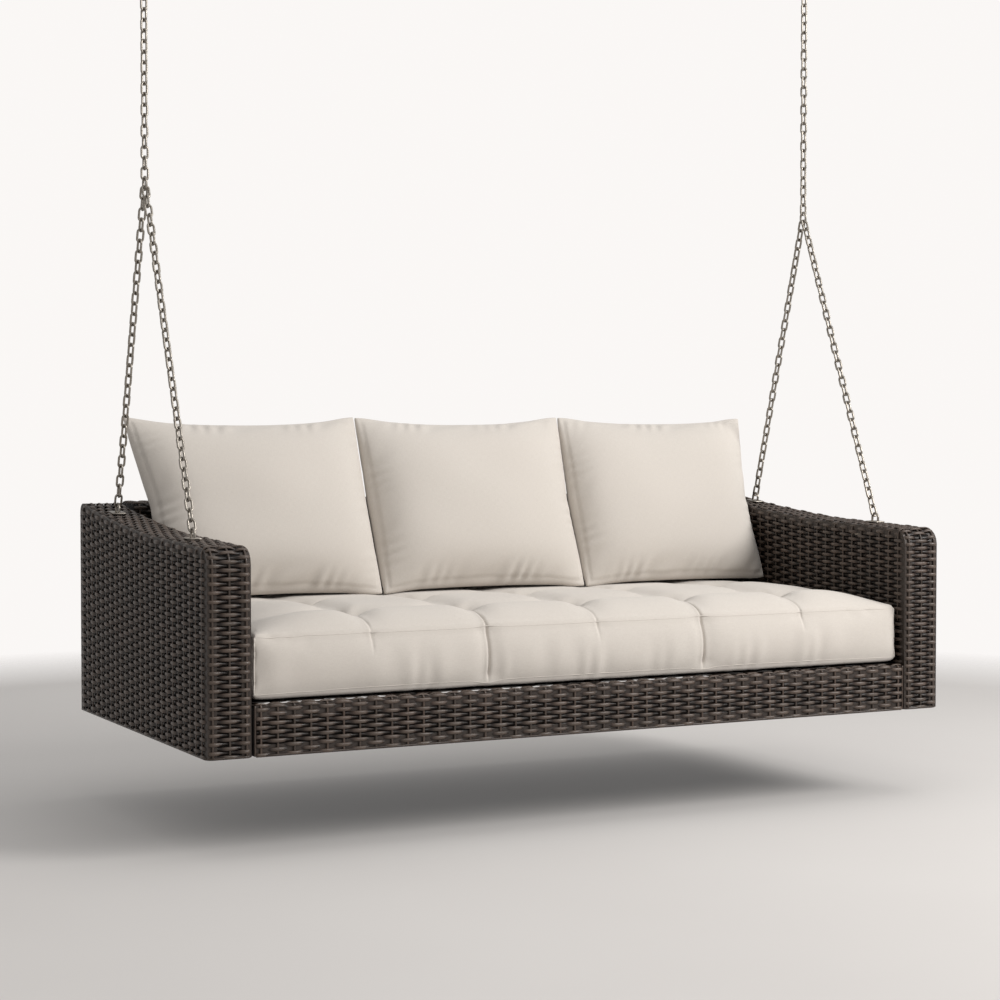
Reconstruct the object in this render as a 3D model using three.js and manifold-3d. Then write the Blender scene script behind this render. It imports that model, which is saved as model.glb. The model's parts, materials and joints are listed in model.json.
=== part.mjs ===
// Porch swing seat: a woven two-arm bench on an aluminium tube frame, hung from two ceiling
// hooks by steel chain, with one tufted seat cushion and three loose back pillows.
// Units are millimetres. +X is the sitter's left-to-right width seen from the front, +Y runs to
// the back, +Z is up. The origin is on the ceiling, midway between the two ceiling plates.
import * as THREE from "three";
import Module from "manifold-3d";

const wasm = await Module();
wasm.setup();

// ---- driving dimensions ------------------------------------------------------------------
const WIDTH = 1956; // across the outer faces of the two arms
const DEPTH = 960; // front face of an arm to the back of the backrest
const DROP = 1993.6; // ceiling down to the underside of the seat
const BALANCE = 60.1; // the hooks stand this far behind the middle of the depth
const GAP = 0.4; // clearance between pieces that are welded, bolted or laid together
const PLAY = 1; // clearance between two links where they hang on each other

const ARM_WIDTH = 110;
const BACK_THICK = 118;
const COVER = 4; // woven cover
const APRON_HEIGHT = 116;
const APRON_THICK = 34;
const TUBE = 22; // square frame tube
const TUBE_WALL = 2;
const RAIL = 24; // square base rail

// top of an arm: distance from the front, height
const ARM_TOP = [
  [60, 459],
  [200, 464],
  [400, 469],
  [550, 480],
  [700, 494],
  [820, 507],
  [930, 524],
];
const FRONT_CORNER = 40; // radius of the arm's front top corner
const REAR_CORNER = 28;
const BACK_HEIGHT = 526;

const WIRE = 5.5; // chain wire
const LINK_PITCH = 24.6;
const LINK_HALF = 7.75; // link centreline to its middle, across
const CHAIN_BAR = 5; // radius of the plain bar that fills a run between its two end links
const RING_WIRE = 6;
const RING_HALF = 11.5;
const RING_LENGTH = 30; // along the centreline, top to bottom
const RING_CENTRE = 1280; // middle of the ring's lower bow above the underside of the seat
const LEG_SIDE = 3.4; // the two leg links lie this far each side of the ring's middle
const LEG_SINK = 3.3;
const TOP_WIRE = 8;
const TOP_HALF = 11;
const TOP_LENGTH = 54;
const HOOK_WIRE = 10;
const HOOK_HALF = 14;
const HOOK_BOTTOM = 44; // ceiling to the middle of the hook's bottom wire
const PLATE = { x: 84, y: 50, z: 6, hole: 3.2, holeX: 32, holeY: 16 };

const EYE_INSET = 45; // middle of an eye to the arm's outer face
const EYE_FRONT = 210; // from the front of the arm
const EYE_REAR = 770;
const EYE_WIRE = 6;
const EYE_HALF = 12;
const EYE_HEIGHT = 24; // top wire above the arm
const EYE_DEPTH = 42; // leg ends below the arm's top
const EYE_PLATE = { x: 34, y: 44, z: 3 };
const BACKING = { x: 98, y: 44, z: 5 };
const NUT = { across: 10, z: 5 };
const HOLE = 3.75; // hole round a leg of the eye

const CUSHION = { half: 865, front: 22, back: 838, bottom: 117, top: 268, round: 26, edge: 14 };
const PILLOW = { x: 577, height: 476, thick: 196, pitch: 578, front: 720, z: 514, lean: 23.5 };

// ---- materials ---------------------------------------------------------------------------
const steel = new THREE.MeshStandardMaterial({ color: 0x8a847c, roughness: 0.35, metalness: 1 });
const frame = new THREE.MeshStandardMaterial({ color: 0x2a2522, roughness: 0.5, metalness: 0.7 });
const wicker = new THREE.MeshStandardMaterial({ color: 0x332a26, roughness: 0.45, metalness: 0 });
const fabric = new THREE.MeshStandardMaterial({ color: 0xcdc6bc, roughness: 0.95, metalness: 0 });

// ---- tools -------------------------------------------------------------------------------
const swing = new THREE.Group();
swing.name = "porch_swing_seat";
const seat = new THREE.Group();
seat.name = "seat_frame";
seat.position.set(0, -BALANCE, -DROP);
swing.add(seat);

function put(parent, name, geometry, material) {
  const mesh = new THREE.Mesh(geometry, material);
  mesh.name = name;
  parent.add(mesh);
  return mesh;
}

function solid(geometry) {
  const plain = geometry.index ? geometry.toNonIndexed() : geometry.clone();
  const flat = plain.getAttribute("position").array;
  const seen = new Map();
  const points = [];
  const corners = [];
  for (let i = 0; i < flat.length; i += 3) {
    const key = [0, 1, 2].map((k) => Math.round(flat[i + k] * 1e3)).join();
    if (!seen.has(key)) {
      seen.set(key, points.length / 3);
      points.push(flat[i], flat[i + 1], flat[i + 2]);
    }
    corners.push(seen.get(key));
  }
  const kept = [];
  for (let i = 0; i < corners.length; i += 3) {
    const [a, b, c] = corners.slice(i, i + 3);
    if (a !== b && b !== c && c !== a) kept.push(a, b, c);
  }
  return new wasm.Manifold(
    new wasm.Mesh({
      numProp: 3,
      vertProperties: new Float32Array(points),
      triVerts: new Uint32Array(kept),
    }),
  );
}

function geometryOf(made) {
  const mesh = made.getMesh();
  const geometry = new THREE.BufferGeometry();
  geometry.setAttribute("position", new THREE.BufferAttribute(mesh.vertProperties, 3));
  geometry.setIndex(new THREE.BufferAttribute(mesh.triVerts, 1));
  geometry.computeVertexNormals();
  return geometry;
}

const join = (...parts) => geometryOf(parts.map(solid).reduce((a, b) => a.add(b)));
const cut = (body, ...tools) => geometryOf(tools.map(solid).reduce((a, b) => a.subtract(b), solid(body)));

// A flat outline in Y and Z, extruded along X and centred on x = 0.
function alongX(outline, length, holes = []) {
  const shape = new THREE.Shape(outline.map(([y, z]) => new THREE.Vector2(y, z)));
  shape.holes = holes.map((hole) => new THREE.Path(hole.map(([y, z]) => new THREE.Vector2(y, z))));
  const geometry = new THREE.ExtrudeGeometry(shape, { depth: length, bevelEnabled: false });
  geometry.translate(0, 0, -length / 2);
  geometry.applyMatrix4(new THREE.Matrix4().set(0, 0, 1, 0, 1, 0, 0, 0, 0, 1, 0, 0, 0, 0, 0, 1));
  return geometry;
}

function block(x0, x1, y0, y1, z0, z1) {
  const geometry = new THREE.BoxGeometry(x1 - x0, y1 - y0, z1 - z0);
  return geometry.translate((x0 + x1) / 2, (y0 + y1) / 2, (z0 + z1) / 2);
}

function squareRing(size, wall) {
  const corners = (h) => [[-h, -h], [h, -h], [h, h], [-h, h]];
  return [corners(size / 2), corners(size / 2 - wall)];
}

// A square tube with open ends, along X, Y or Z, centred on its own middle.
function squareTube(size, length, axis) {
  const [outer, inner] = squareRing(size, TUBE_WALL);
  const geometry = alongX(outer, length, [inner]);
  if (axis === "y") geometry.rotateZ(Math.PI / 2);
  if (axis === "z") geometry.rotateY(Math.PI / 2);
  return geometry;
}

function arc(cx, cy, radius, from, to, steps) {
  return Array.from({ length: steps + 1 }, (_, i) => {
    const angle = ((from + ((to - from) * i) / steps) * Math.PI) / 180;
    return [cx + radius * Math.cos(angle), cy + radius * Math.sin(angle)];
  });
}

// ---- chain hardware ----------------------------------------------------------------------
// A link or ring in the YZ plane: round ends, straight sides, eight-sided wire. Its top
// centreline is at z = 0 and its bottom centreline at z = -length.
function link(half, length, wire, steps = 8) {
  const straight = length - 2 * half;
  const bevel = wire * 0.29;
  const track = (radius) => [
    ...arc(0, -half, radius, 0, 180, steps),
    ...arc(0, -half - straight, radius, 180, 360, steps),
  ];
  const shape = new THREE.Shape(
    track(half + wire / 2 - bevel).map(([y, z]) => new THREE.Vector2(y, z)),
  );
  shape.holes = [
    new THREE.Path(track(half - wire / 2 + bevel).map(([y, z]) => new THREE.Vector2(y, z))),
  ];
  return wireFrom(shape, wire, bevel);
}

// A U with its bow at the top, centreline at z = 0, and both legs running down to z = -length.
function staple(half, length, wire, steps = 8) {
  const bevel = wire * 0.29;
  const out = wire / 2 - bevel;
  const outline = [
    ...arc(0, -half, half + out, 0, 180, steps),
    [-half - out, -length + bevel],
    [-half + out, -length + bevel],
    ...arc(0, -half, half - out, 180, 0, steps),
    [half - out, -length + bevel],
    [half + out, -length + bevel],
  ];
  const shape = new THREE.Shape(outline.map(([y, z]) => new THREE.Vector2(y, z)));
  return wireFrom(shape, wire, bevel);
}

function wireFrom(shape, wire, bevel) {
  const geometry = new THREE.ExtrudeGeometry(shape, {
    depth: wire - 2 * bevel,
    bevelThickness: bevel,
    bevelSize: bevel,
    bevelSegments: 1,
  });
  geometry.translate(0, 0, -(wire - 2 * bevel) / 2);
  geometry.applyMatrix4(new THREE.Matrix4().set(0, 0, 1, 0, 1, 0, 0, 0, 0, 1, 0, 0, 0, 0, 0, 1));
  return geometry;
}

// A run of chain hanging down from z = 0: a real link at each end, lying across X, and a plain
// bar of about the chain's own mass between them.
function chainRun(length) {
  const linkLength = LINK_PITCH + WIRE;
  const first = link(LINK_HALF, linkLength, WIRE, 6).rotateZ(Math.PI / 2);
  const last = first.clone().translate(0, 0, linkLength - length);
  const bar = new THREE.CylinderGeometry(CHAIN_BAR, CHAIN_BAR, length - 2 * linkLength + WIRE, 8);
  bar.rotateX(Math.PI / 2).translate(0, 0, -length / 2);
  return join(first, bar, last);
}

function ceilingPlate() {
  const rim = [
    [-PLATE.x / 2, -PLATE.y / 2],
    [PLATE.x / 2, -PLATE.y / 2],
    [PLATE.x / 2, PLATE.y / 2],
    [-PLATE.x / 2, PLATE.y / 2],
  ];
  const shape = new THREE.Shape(rim.map(([x, y]) => new THREE.Vector2(x, y)));
  for (const x of [-PLATE.holeX, PLATE.holeX]) {
    for (const y of [-PLATE.holeY, PLATE.holeY]) {
      const hole = arc(x, y, PLATE.hole, 0, 330, 11).map(([a, b]) => new THREE.Vector2(a, b));
      shape.holes.push(new THREE.Path(hole));
    }
  }
  const geometry = new THREE.ExtrudeGeometry(shape, { depth: PLATE.z, bevelEnabled: false });
  return geometry.translate(0, 0, -PLATE.z);
}

const HANG_X = WIDTH / 2 - EYE_INSET;
const SIDES = [
  ["left", -1],
  ["right", 1],
];
const topLinkTop = HOOK_WIRE / 2 + PLAY + TOP_WIRE / 2 - HOOK_BOTTOM;
const topLinkBottom = topLinkTop - TOP_LENGTH;
const chainTop = topLinkBottom + TOP_WIRE / 2 + PLAY + WIRE / 2;
const ringBow = RING_CENTRE - DROP; // middle of the ring's lower bow
const ringTop = ringBow + RING_LENGTH - RING_HALF;
const chainBottom = ringTop - RING_WIRE / 2 - PLAY - WIRE / 2;

for (const [side, sign] of SIDES) {
  const place = (name, geometry, z) => {
    put(swing, `${side}_${name}`, geometry, steel).position.set(sign * HANG_X, 0, z);
  };
  place("ceiling_plate", ceilingPlate(), 0);
  const hook = staple(HOOK_HALF, HOOK_BOTTOM - PLATE.z - GAP, HOOK_WIRE);
  place("ceiling_hook", hook.rotateX(Math.PI).rotateZ(Math.PI / 2), -HOOK_BOTTOM);
  place("top_link", link(TOP_HALF, TOP_LENGTH, TOP_WIRE), topLinkTop);
  place("upper_chain", chainRun(chainTop - chainBottom), chainTop);
  place("junction_ring", link(RING_HALF, RING_LENGTH, RING_WIRE), ringTop);
}

// ---- woven arms --------------------------------------------------------------------------
// Outline of an arm seen from the side, shrunk by inset, from the front foot over the top to
// the rear foot. Y is measured from the front face.
function armOutline(inset, foot) {
  const corner = FRONT_CORNER - inset;
  const rear = REAR_CORNER - inset;
  const cornerTop = ARM_TOP[0][1] - inset;
  const rearTop = ARM_TOP[ARM_TOP.length - 1][1] - inset;
  return [
    [inset, foot],
    ...arc(inset + corner, cornerTop - corner - 1, Math.max(corner, 6), 180, 96, 4),
    ...ARM_TOP.map(([y, z]) => [y, z - inset]),
    ...arc(DEPTH - inset - rear, rearTop - rear + 2, Math.max(rear, 4), 84, 0, 3),
    [DEPTH - inset, foot],
  ];
}

// A band that follows the arm's outline between two insets, open at the bottom.
function armBand(inset, depth, foot) {
  return [...armOutline(inset, foot), ...armOutline(inset + depth, foot).reverse()];
}

function armTopAt(y) {
  const after = ARM_TOP.findIndex(([t]) => t > y);
  const [[y0, z0], [y1, z1]] = [ARM_TOP[after - 1], ARM_TOP[after]];
  const slope = (z1 - z0) / (y1 - y0);
  return { z: z0 + slope * (y - y0), tilt: Math.atan(slope) };
}

// Places a geometry made for an eye, whose z = 0 is the arm's top, at y from the front.
function atEye(geometry, y) {
  const { z, tilt } = armTopAt(y);
  return geometry.rotateX(tilt).translate(0, y, z);
}

function eyeLegHoles(y) {
  return [-EYE_HALF, EYE_HALF].map((offset) => {
    const drill = new THREE.CylinderGeometry(HOLE, HOLE, 40, 12).rotateX(Math.PI / 2);
    return atEye(drill.translate(0, offset, 0), y);
  });
}

function armCover(eyeX) {
  const shell = cut(
    alongX(armOutline(0, 0), ARM_WIDTH),
    alongX(armOutline(COVER, -10), ARM_WIDTH - 2 * COVER),
  );
  const holes = [EYE_FRONT, EYE_REAR].flatMap(eyeLegHoles);
  return cut(shell, ...holes.map((hole) => hole.translate(eyeX, 0, 0)));
}

function armHoop() {
  const inset = COVER + 1;
  return cut(
    alongX(armBand(inset, TUBE, 2), TUBE),
    alongX(armBand(inset + TUBE_WALL, TUBE - 2 * TUBE_WALL, -10), TUBE - 2 * TUBE_WALL),
  );
}

const armMiddle = (WIDTH - ARM_WIDTH) / 2;
const hoopOffset = ARM_WIDTH / 2 - COVER - 1 - TUBE / 2;
const front = -DEPTH / 2;

for (const [side, sign] of SIDES) {
  const place = (name, geometry, material, x) => {
    put(seat, `${side}_${name}`, geometry, material).position.set(sign * x, front, 0);
  };
  place("arm_cover", armCover(sign * (HANG_X - armMiddle)), wicker, armMiddle);
  place("arm_outer_hoop", armHoop(), frame, armMiddle + hoopOffset);
  place("arm_inner_hoop", armHoop(), frame, armMiddle - hoopOffset);
}

// ---- eyes on the arms, and the chain legs up to the junction rings --------------------------
function holedBar(size) {
  const rim = [
    [-size.x / 2, -size.y / 2],
    [size.x / 2, -size.y / 2],
    [size.x / 2, size.y / 2],
    [-size.x / 2, size.y / 2],
  ];
  const shape = new THREE.Shape(rim.map(([x, y]) => new THREE.Vector2(x, y)));
  for (const y of [-EYE_HALF, EYE_HALF]) {
    const hole = arc(0, y, HOLE, 0, 330, 11).map(([a, b]) => new THREE.Vector2(a, b));
    shape.holes.push(new THREE.Path(hole));
  }
  return new THREE.ExtrudeGeometry(shape, { depth: size.z, bevelEnabled: false });
}

function nut() {
  const rim = arc(0, 0, NUT.across / Math.sqrt(3), 0, 300, 5);
  const shape = new THREE.Shape(rim.map(([x, y]) => new THREE.Vector2(x, y)));
  const hole = arc(0, 0, HOLE, 0, 330, 11).map(([a, b]) => new THREE.Vector2(a, b));
  shape.holes.push(new THREE.Path(hole));
  return new THREE.ExtrudeGeometry(shape, { depth: NUT.z, bevelEnabled: false });
}

const hoopUnderside = -(COVER + 1 + TUBE);
const backingTop = hoopUnderside - 1;
const nutTop = backingTop - BACKING.z - GAP;

for (const [side, sign] of SIDES) {
  for (const [end, y, lean] of [
    ["front", EYE_FRONT, 1],
    ["rear", EYE_REAR, -1],
  ]) {
    const place = (name, geometry, x = HANG_X) => {
      const mesh = put(seat, `${side}_${end}_${name}`, atEye(geometry, y), steel);
      mesh.position.set(sign * x, front, 0);
    };
    place("eye_bolt", staple(EYE_HALF, EYE_HEIGHT + EYE_DEPTH, EYE_WIRE).translate(0, 0, EYE_HEIGHT));
    place("eye_plate", holedBar(EYE_PLATE).translate(0, 0, GAP));
    const shift = HANG_X - armMiddle;
    const bar = cut(
      block(-BACKING.x / 2, BACKING.x / 2, -BACKING.y / 2, BACKING.y / 2, -BACKING.z, 0),
      ...[-EYE_HALF, EYE_HALF].map((offset) =>
        new THREE.CylinderGeometry(HOLE, HOLE, 20, 12)
          .rotateX(Math.PI / 2)
          .translate(sign * shift, offset, 0),
      ),
    );
    place("backing_bar", bar.translate(0, 0, backingTop), armMiddle);
    place("nut_fore", nut().translate(0, -EYE_HALF, nutTop - NUT.z));
    place("nut_aft", nut().translate(0, EYE_HALF, nutTop - NUT.z));

    // The leg pulls on the bow of the eye, so it points at the middle of that bow.
    const { z, tilt } = armTopAt(y);
    const bow = EYE_HEIGHT - EYE_HALF;
    const eye = new THREE.Vector3(0, y + front - bow * Math.sin(tilt), z + bow * Math.cos(tilt));
    const top = new THREE.Vector3(0, BALANCE - lean * LEG_SIDE, RING_CENTRE - LEG_SINK);
    const along = eye.sub(top);
    const reach = along.length() - EYE_HALF + EYE_WIRE / 2 + PLAY + WIRE / 2;
    const leg = put(seat, `${side}_${end}_leg_chain`, chainRun(reach), steel);
    leg.position.set(sign * HANG_X, top.y, top.z);
    leg.rotation.x = Math.atan2(along.y, -along.z);
  }
}

// ---- base, backrest and their woven covers --------------------------------------------------
const inner = WIDTH / 2 - ARM_WIDTH - GAP; // half the width between the arms
const deckTop = APRON_HEIGHT;
const railTop = deckTop - COVER - GAP;
const railMiddle = railTop - RAIL / 2;
const backFront = DEPTH - BACK_THICK;
const rearRail = backFront - GAP - RAIL / 2;
const sideRailFrom = APRON_THICK + GAP;
const sideRailTo = rearRail - RAIL / 2 - GAP;

function placeTube(name, size, axis, length, x, y, z) {
  put(seat, name, squareTube(size, length, axis), frame).position.set(x, y + front, z);
}

function apronCover() {
  const outer = [[0, 0], [0, APRON_HEIGHT], [APRON_THICK, APRON_HEIGHT], [APRON_THICK, 0]];
  const hollow = [
    [APRON_THICK - COVER, 0],
    [APRON_THICK - COVER, APRON_HEIGHT - COVER],
    [COVER, APRON_HEIGHT - COVER],
    [COVER, 0],
  ];
  return alongX([...outer, ...hollow], 2 * inner);
}

function backOutline(inset) {
  const radius = REAR_CORNER - inset;
  return [
    [backFront + inset, 0],
    ...arc(backFront + inset + radius, BACK_HEIGHT - inset - radius, radius, 180, 90, 4),
    ...arc(DEPTH - inset - radius, BACK_HEIGHT - inset - radius, radius, 90, 0, 4),
    [DEPTH - inset, 0],
  ];
}

const apron = put(seat, "apron_cover", apronCover(), wicker);
apron.position.y = front;
const back = put(
  seat,
  "back_cover",
  alongX([...backOutline(0), ...backOutline(COVER).reverse()], 2 * inner),
  wicker,
);
back.position.y = front;
put(
  seat,
  "seat_deck",
  block(-inner, inner, APRON_THICK + GAP, backFront - GAP, deckTop - COVER, deckTop),
  wicker,
).position.y = front;

const apronMiddle = APRON_THICK / 2;
placeTube("base_front_rail", RAIL, "x", 2 * inner - 2, 0, apronMiddle, railMiddle);
placeTube("apron_lower_rail", RAIL, "x", 2 * inner - 2, 0, apronMiddle, RAIL / 2 + 2);
placeTube("base_rear_rail", RAIL, "x", 2 * inner - 2, 0, rearRail, railMiddle);
const sideLength = sideRailTo - sideRailFrom;
const sideMiddle = (sideRailFrom + sideRailTo) / 2;
for (const [name, x] of [
  ["base_left_rail", -inner + RAIL / 2],
  ["base_left_cross_rail", -inner / 2],
  ["base_middle_cross_rail", 0],
  ["base_right_cross_rail", inner / 2],
  ["base_right_rail", inner - RAIL / 2],
]) {
  placeTube(name, RAIL, "y", sideLength, x, sideMiddle, railMiddle);
}

const backMiddle = DEPTH - BACK_THICK / 2;
const topRail = BACK_HEIGHT - COVER - 1 - TUBE / 2;
placeTube("back_top_rail", TUBE, "x", 2 * inner - 2, 0, backMiddle, topRail);
placeTube("back_lower_rail", TUBE, "x", 2 * inner - 2, 0, backMiddle, TUBE / 2 + 2);
const postFrom = TUBE + 2 + GAP;
const postTo = topRail - TUBE / 2 - GAP;
for (const [side, sign] of SIDES) {
  const x = sign * inner * 0.6;
  placeTube(`back_${side}_post`, TUBE, "z", postTo - postFrom, x, backMiddle, (postFrom + postTo) / 2);
}

// ---- soft pieces, as simple closed solids ---------------------------------------------------
function seatCushion() {
  const { half, front: near, back: far, bottom, top, round, edge } = CUSHION;
  const w = half - edge;
  const rim = [
    ...arc(w - round, near + edge + round, round, -90, 0, 4),
    ...arc(w - round, far - edge - round, round, 0, 90, 4),
    ...arc(-w + round, far - edge - round, round, 90, 180, 4),
    ...arc(-w + round, near + edge + round, round, 180, 270, 4),
  ];
  const shape = new THREE.Shape(rim.map(([x, y]) => new THREE.Vector2(x, y)));
  const geometry = new THREE.ExtrudeGeometry(shape, {
    depth: top - bottom - 2 * edge,
    bevelThickness: edge,
    bevelSize: edge,
    bevelSegments: 2,
  });
  return geometry.translate(0, 0, bottom + edge);
}

// A knife-edge pillow: two quilted faces that meet round the rim, standing on its bottom edge.
function pillow() {
  const steps = 10;
  const flat = (t) => Math.sqrt(Math.max(0, 1 - t ** 4));
  const at = (i, j, face) => {
    const u = Math.sin((Math.PI / 2) * ((2 * i) / steps - 1));
    const v = Math.sin((Math.PI / 2) * ((2 * j) / steps - 1));
    const puff = (PILLOW.thick / 2) * flat(u) * flat(v);
    return [(u * PILLOW.x) / 2, face * puff, (v * PILLOW.height) / 2];
  };
  const flatList = [];
  for (const face of [-1, 1]) {
    for (let i = 0; i < steps; i++) {
      for (let j = 0; j < steps; j++) {
        const quad = [at(i, j, face), at(i + 1, j, face), at(i + 1, j + 1, face), at(i, j + 1, face)];
        const order = face < 0 ? [0, 1, 2, 0, 2, 3] : [0, 2, 1, 0, 3, 2];
        flatList.push(...order.flatMap((k) => quad[k]));
      }
    }
  }
  const geometry = new THREE.BufferGeometry();
  geometry.setAttribute("position", new THREE.Float32BufferAttribute(flatList, 3));
  geometry.computeVertexNormals();
  return geometry;
}

put(seat, "seat_cushion", seatCushion(), fabric).position.y = front;
for (const [name, place] of [
  ["left", -1],
  ["middle", 0],
  ["right", 1],
]) {
  const soft = put(seat, `back_pillow_${name}`, pillow(), fabric);
  soft.position.set(place * PILLOW.pitch, PILLOW.front + front, PILLOW.z);
  soft.rotation.x = (-PILLOW.lean * Math.PI) / 180;
}

export default swing;
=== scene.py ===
"""The looks of a woven porch swing seat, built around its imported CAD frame.

Everything is in metres in the frame's own axes. Places come from the CAD nodes. The woven
covers, the chain and the cushions are built here, and each one replaces its plain CAD solid.
"""
import json
import math

import bpy
import numpy as np
from mathutils import Matrix, Vector
from mathutils.bvhtree import BVHTree


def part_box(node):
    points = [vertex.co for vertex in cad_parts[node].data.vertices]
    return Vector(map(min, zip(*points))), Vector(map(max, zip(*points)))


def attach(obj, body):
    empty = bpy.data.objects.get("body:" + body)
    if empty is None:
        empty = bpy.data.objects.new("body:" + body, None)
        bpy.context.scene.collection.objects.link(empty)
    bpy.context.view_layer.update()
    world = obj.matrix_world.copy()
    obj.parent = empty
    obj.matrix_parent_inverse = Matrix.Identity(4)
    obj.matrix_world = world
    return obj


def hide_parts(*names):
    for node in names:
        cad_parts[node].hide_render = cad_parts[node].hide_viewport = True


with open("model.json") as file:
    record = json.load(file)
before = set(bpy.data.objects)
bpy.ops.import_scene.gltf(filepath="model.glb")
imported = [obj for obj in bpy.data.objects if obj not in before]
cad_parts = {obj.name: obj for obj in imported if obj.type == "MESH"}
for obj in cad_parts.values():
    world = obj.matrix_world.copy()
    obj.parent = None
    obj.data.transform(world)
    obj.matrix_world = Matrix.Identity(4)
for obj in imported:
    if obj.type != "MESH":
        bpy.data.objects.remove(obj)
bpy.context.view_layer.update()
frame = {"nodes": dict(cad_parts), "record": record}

nodes = frame["nodes"]
scene = bpy.context.scene

# ---- driving dimensions -------------------------------------------------------------------
# weave
STAKES_IN_HALF = 51  # stake pitches from the middle of an arm's front round to the back's middle
SIDE_ROWS = 46  # strands up the side of an arm
BROW_ROWS = 4  # strands over an arm's rounded front corner
BROW_START = math.radians(37)
ROW_SPACING = 0.0098
STEPS_PER_STAKE = 6
STRAND_FILL = 0.95  # a strand's width as a share of the row spacing
STRAND_THICK = 0.0034
OVER = -0.0006  # middle of a strand where it passes over a stake
UNDER = -0.0068
UNEVEN = 0.0011  # how much lower some crossings sit
WANDER = 0.0005  # how far a strand strays from its row
CREST = (0.34, 0.95)  # where a strand starts to rise over a stake, and where it lies flat on it
DIVE = 0.0055  # how far a top strand tucks in at its ends
DIVE_RUN = 0.016
STAKE_SIZE = (0.0052, 0.0034)  # width and thickness
STAKE_DEPTH = 0.0025  # middle of a stake below the woven surface
STAKE_FOOT = 0.004  # a stake's lower end above the foot
STAKE_TUCK = 0.004  # how far a front stake sinks where it ends on top
FOOT_CORDS = ((0.0030, 0.0030), (0.0066, 0.0036))  # depth and height of each one's middle
FOOT_CORD_SIZE = (0.0058, 0.0056)
# the shell under the weave
EDGE = 0.019  # radius of the arms' and the backrest's woven edges
REAR_EDGE = 0.022
FRONT_CORNER = 0.040
REAR_CORNER = 0.028
APRON_EDGE = 0.009
APRON_GAP = 0.004  # between the apron's strands and the arms
APRON_CORD = 0.0045  # thickness of the cords that close the two joints with the arms
APRON_CORD_INSET = (0.002, 0.003)  # from the arm, and behind the front
LINER_DEPTH = 0.0085
FOOT_GAP = 0.003  # of the inner layers and of the apron's stakes, above the foot
STRAP = 0.040
STRAP_PITCH = STRAP * 1.1
STRAP_THICK = 0.0016
STRAP_RISE = 0.0011  # how far a strap lies above or below the deck's middle at a crossing
# chain and fittings
WIRE = 0.0055
LINK_HALF = 0.00775
LINK_PITCH = 0.0246
CHAIN_TWIST = math.radians(24)
HOOK_WIRE = 0.010
HOOK_COLLAR = 0.004
TOP_LINK_WIRE = 0.008
RING_WIRE = 0.006
PLATE_CORNER = 0.006
PLATE_BEVEL = 0.0008
SCREWS = ((0.032, 0.016), (-0.032, 0.016), (-0.032, -0.016), (0.032, -0.016))
SCREW_HEAD = (0.0058, 0.003)  # radius and height
SCREW_BITE = 0.0002  # how far a head reaches into its plate
EYE_WIRE = 0.006
EYE_HALF = 0.012
EYE_HEIGHT = 0.024
EYE_DEPTH = 0.042
EYE_DROP = 0.0019
EYE_PLATE = (0.034, 0.044, 0.007)  # width, length and corner radius
EYE_PLATE_HALF = 0.0015
EYE_PLATE_BEVEL = 0.0007
# filling
FILL_FRAMES = 20
FILL_CAP = 0.022  # the furthest that the filling moves any place
# seat cushion
SEAM_X = (-0.578, -0.289, 0.0, 0.289, 0.578)
STRONG_SEAMS = (-0.289, 0.289)
TUFT_ROWS = (0.20, 0.50)  # behind the arm's front
CUSHION_STEP = 0.0145
SEAM_OFFSETS = (-0.0055, -0.002, 0.002, 0.0055)
CUSHION_ROUND = 0.013  # radius of the boxed cushion's top and bottom edges
RIM_INSET = 0.0085
DOME = 0.037  # how far the filled top stands above its seam, in front of the pillows
DOME_REAR = 0.0215
DOME_RUN = (0.20, 0.095, 0.06)  # from the ends, the front and the back to the full height
REAR_START, REAR_RUN = 0.07, 0.12  # behind the cushion's middle, where the pillows sit
REAR_FILL = 0.7  # share of a seam's valley that is gone under the pillows
TUFT_PIN = 0.009
TUFT_PIT = (0.036, 0.046)  # depth and width, as in the next ones
SEAM_VALLEY = (0.016, 0.036)
CROSS_VALLEY = (0.012, 0.042)
FRONT_CREASE = (0.0060, 0.0032)
FRONT_CHANNEL = (0.0070, 0.026)
CREASE_RIDGE = (0.0026, 0.0035)
CREASE_TO_RIDGE = 0.0065
WEAK_SEAM = 0.45  # a weak seam's crease as a share of a strong one's
SETTLE = 0.75  # share of the inflated top that settles back to its sewn shape
FOLD_PLACES = (-0.37, 0.05, 0.50)
FOLD_DEPTH = 0.0019
PULL_DEPTH = 0.0013
TUCK_DEPTH = 0.0030
PIPING = 0.0010  # radius of the cords along the top and bottom seams
CORNER_PIPING = 0.0021
# pillows
PILLOW_SIZE = np.array([0.576, 0.190, 0.488])
PILLOW_LEAN = math.radians(23.5)
PILLOW_STEP = 0.0105
HEM = 0.0045
RIM_LINES = (0.004, 0.010)
SIDE_DRAW = 0.006  # how far the filling draws each edge in at its middle, as a share of the size
TOP_DRAW = 0.050
FOOT_DRAW = 0.012
CORNER_DRAW = 0.026
LUMPS = 7
LUMP_HEIGHT = 0.0022
SIDE_FILL = 0.8  # how nearly straight a pillow's left and right sides stand
CALM_ROUNDS = 60  # of averaging, which leaves the inflated pillows with no small blisters
GATHER_DEPTHS = (0.0030, 0.0030, 0.0018, 0.0018)  # along the top, the foot and the two sides
RIM_GROOVE = (0.0020, 0.014)
SLUMP = 0.16  # how much fuller a pillow is low down
# How far each pillow's left and right sides stand to the right of their places: low, and at the top.
PILLOW_REACH = {
    "left": ((0.0, 0.0), (-0.042, 0.005)),
    "middle": ((0.0, 0.008), (0.005, 0.028)),
    "right": ((0.008, 0.0), (0.028, 0.038)),
}
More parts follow.
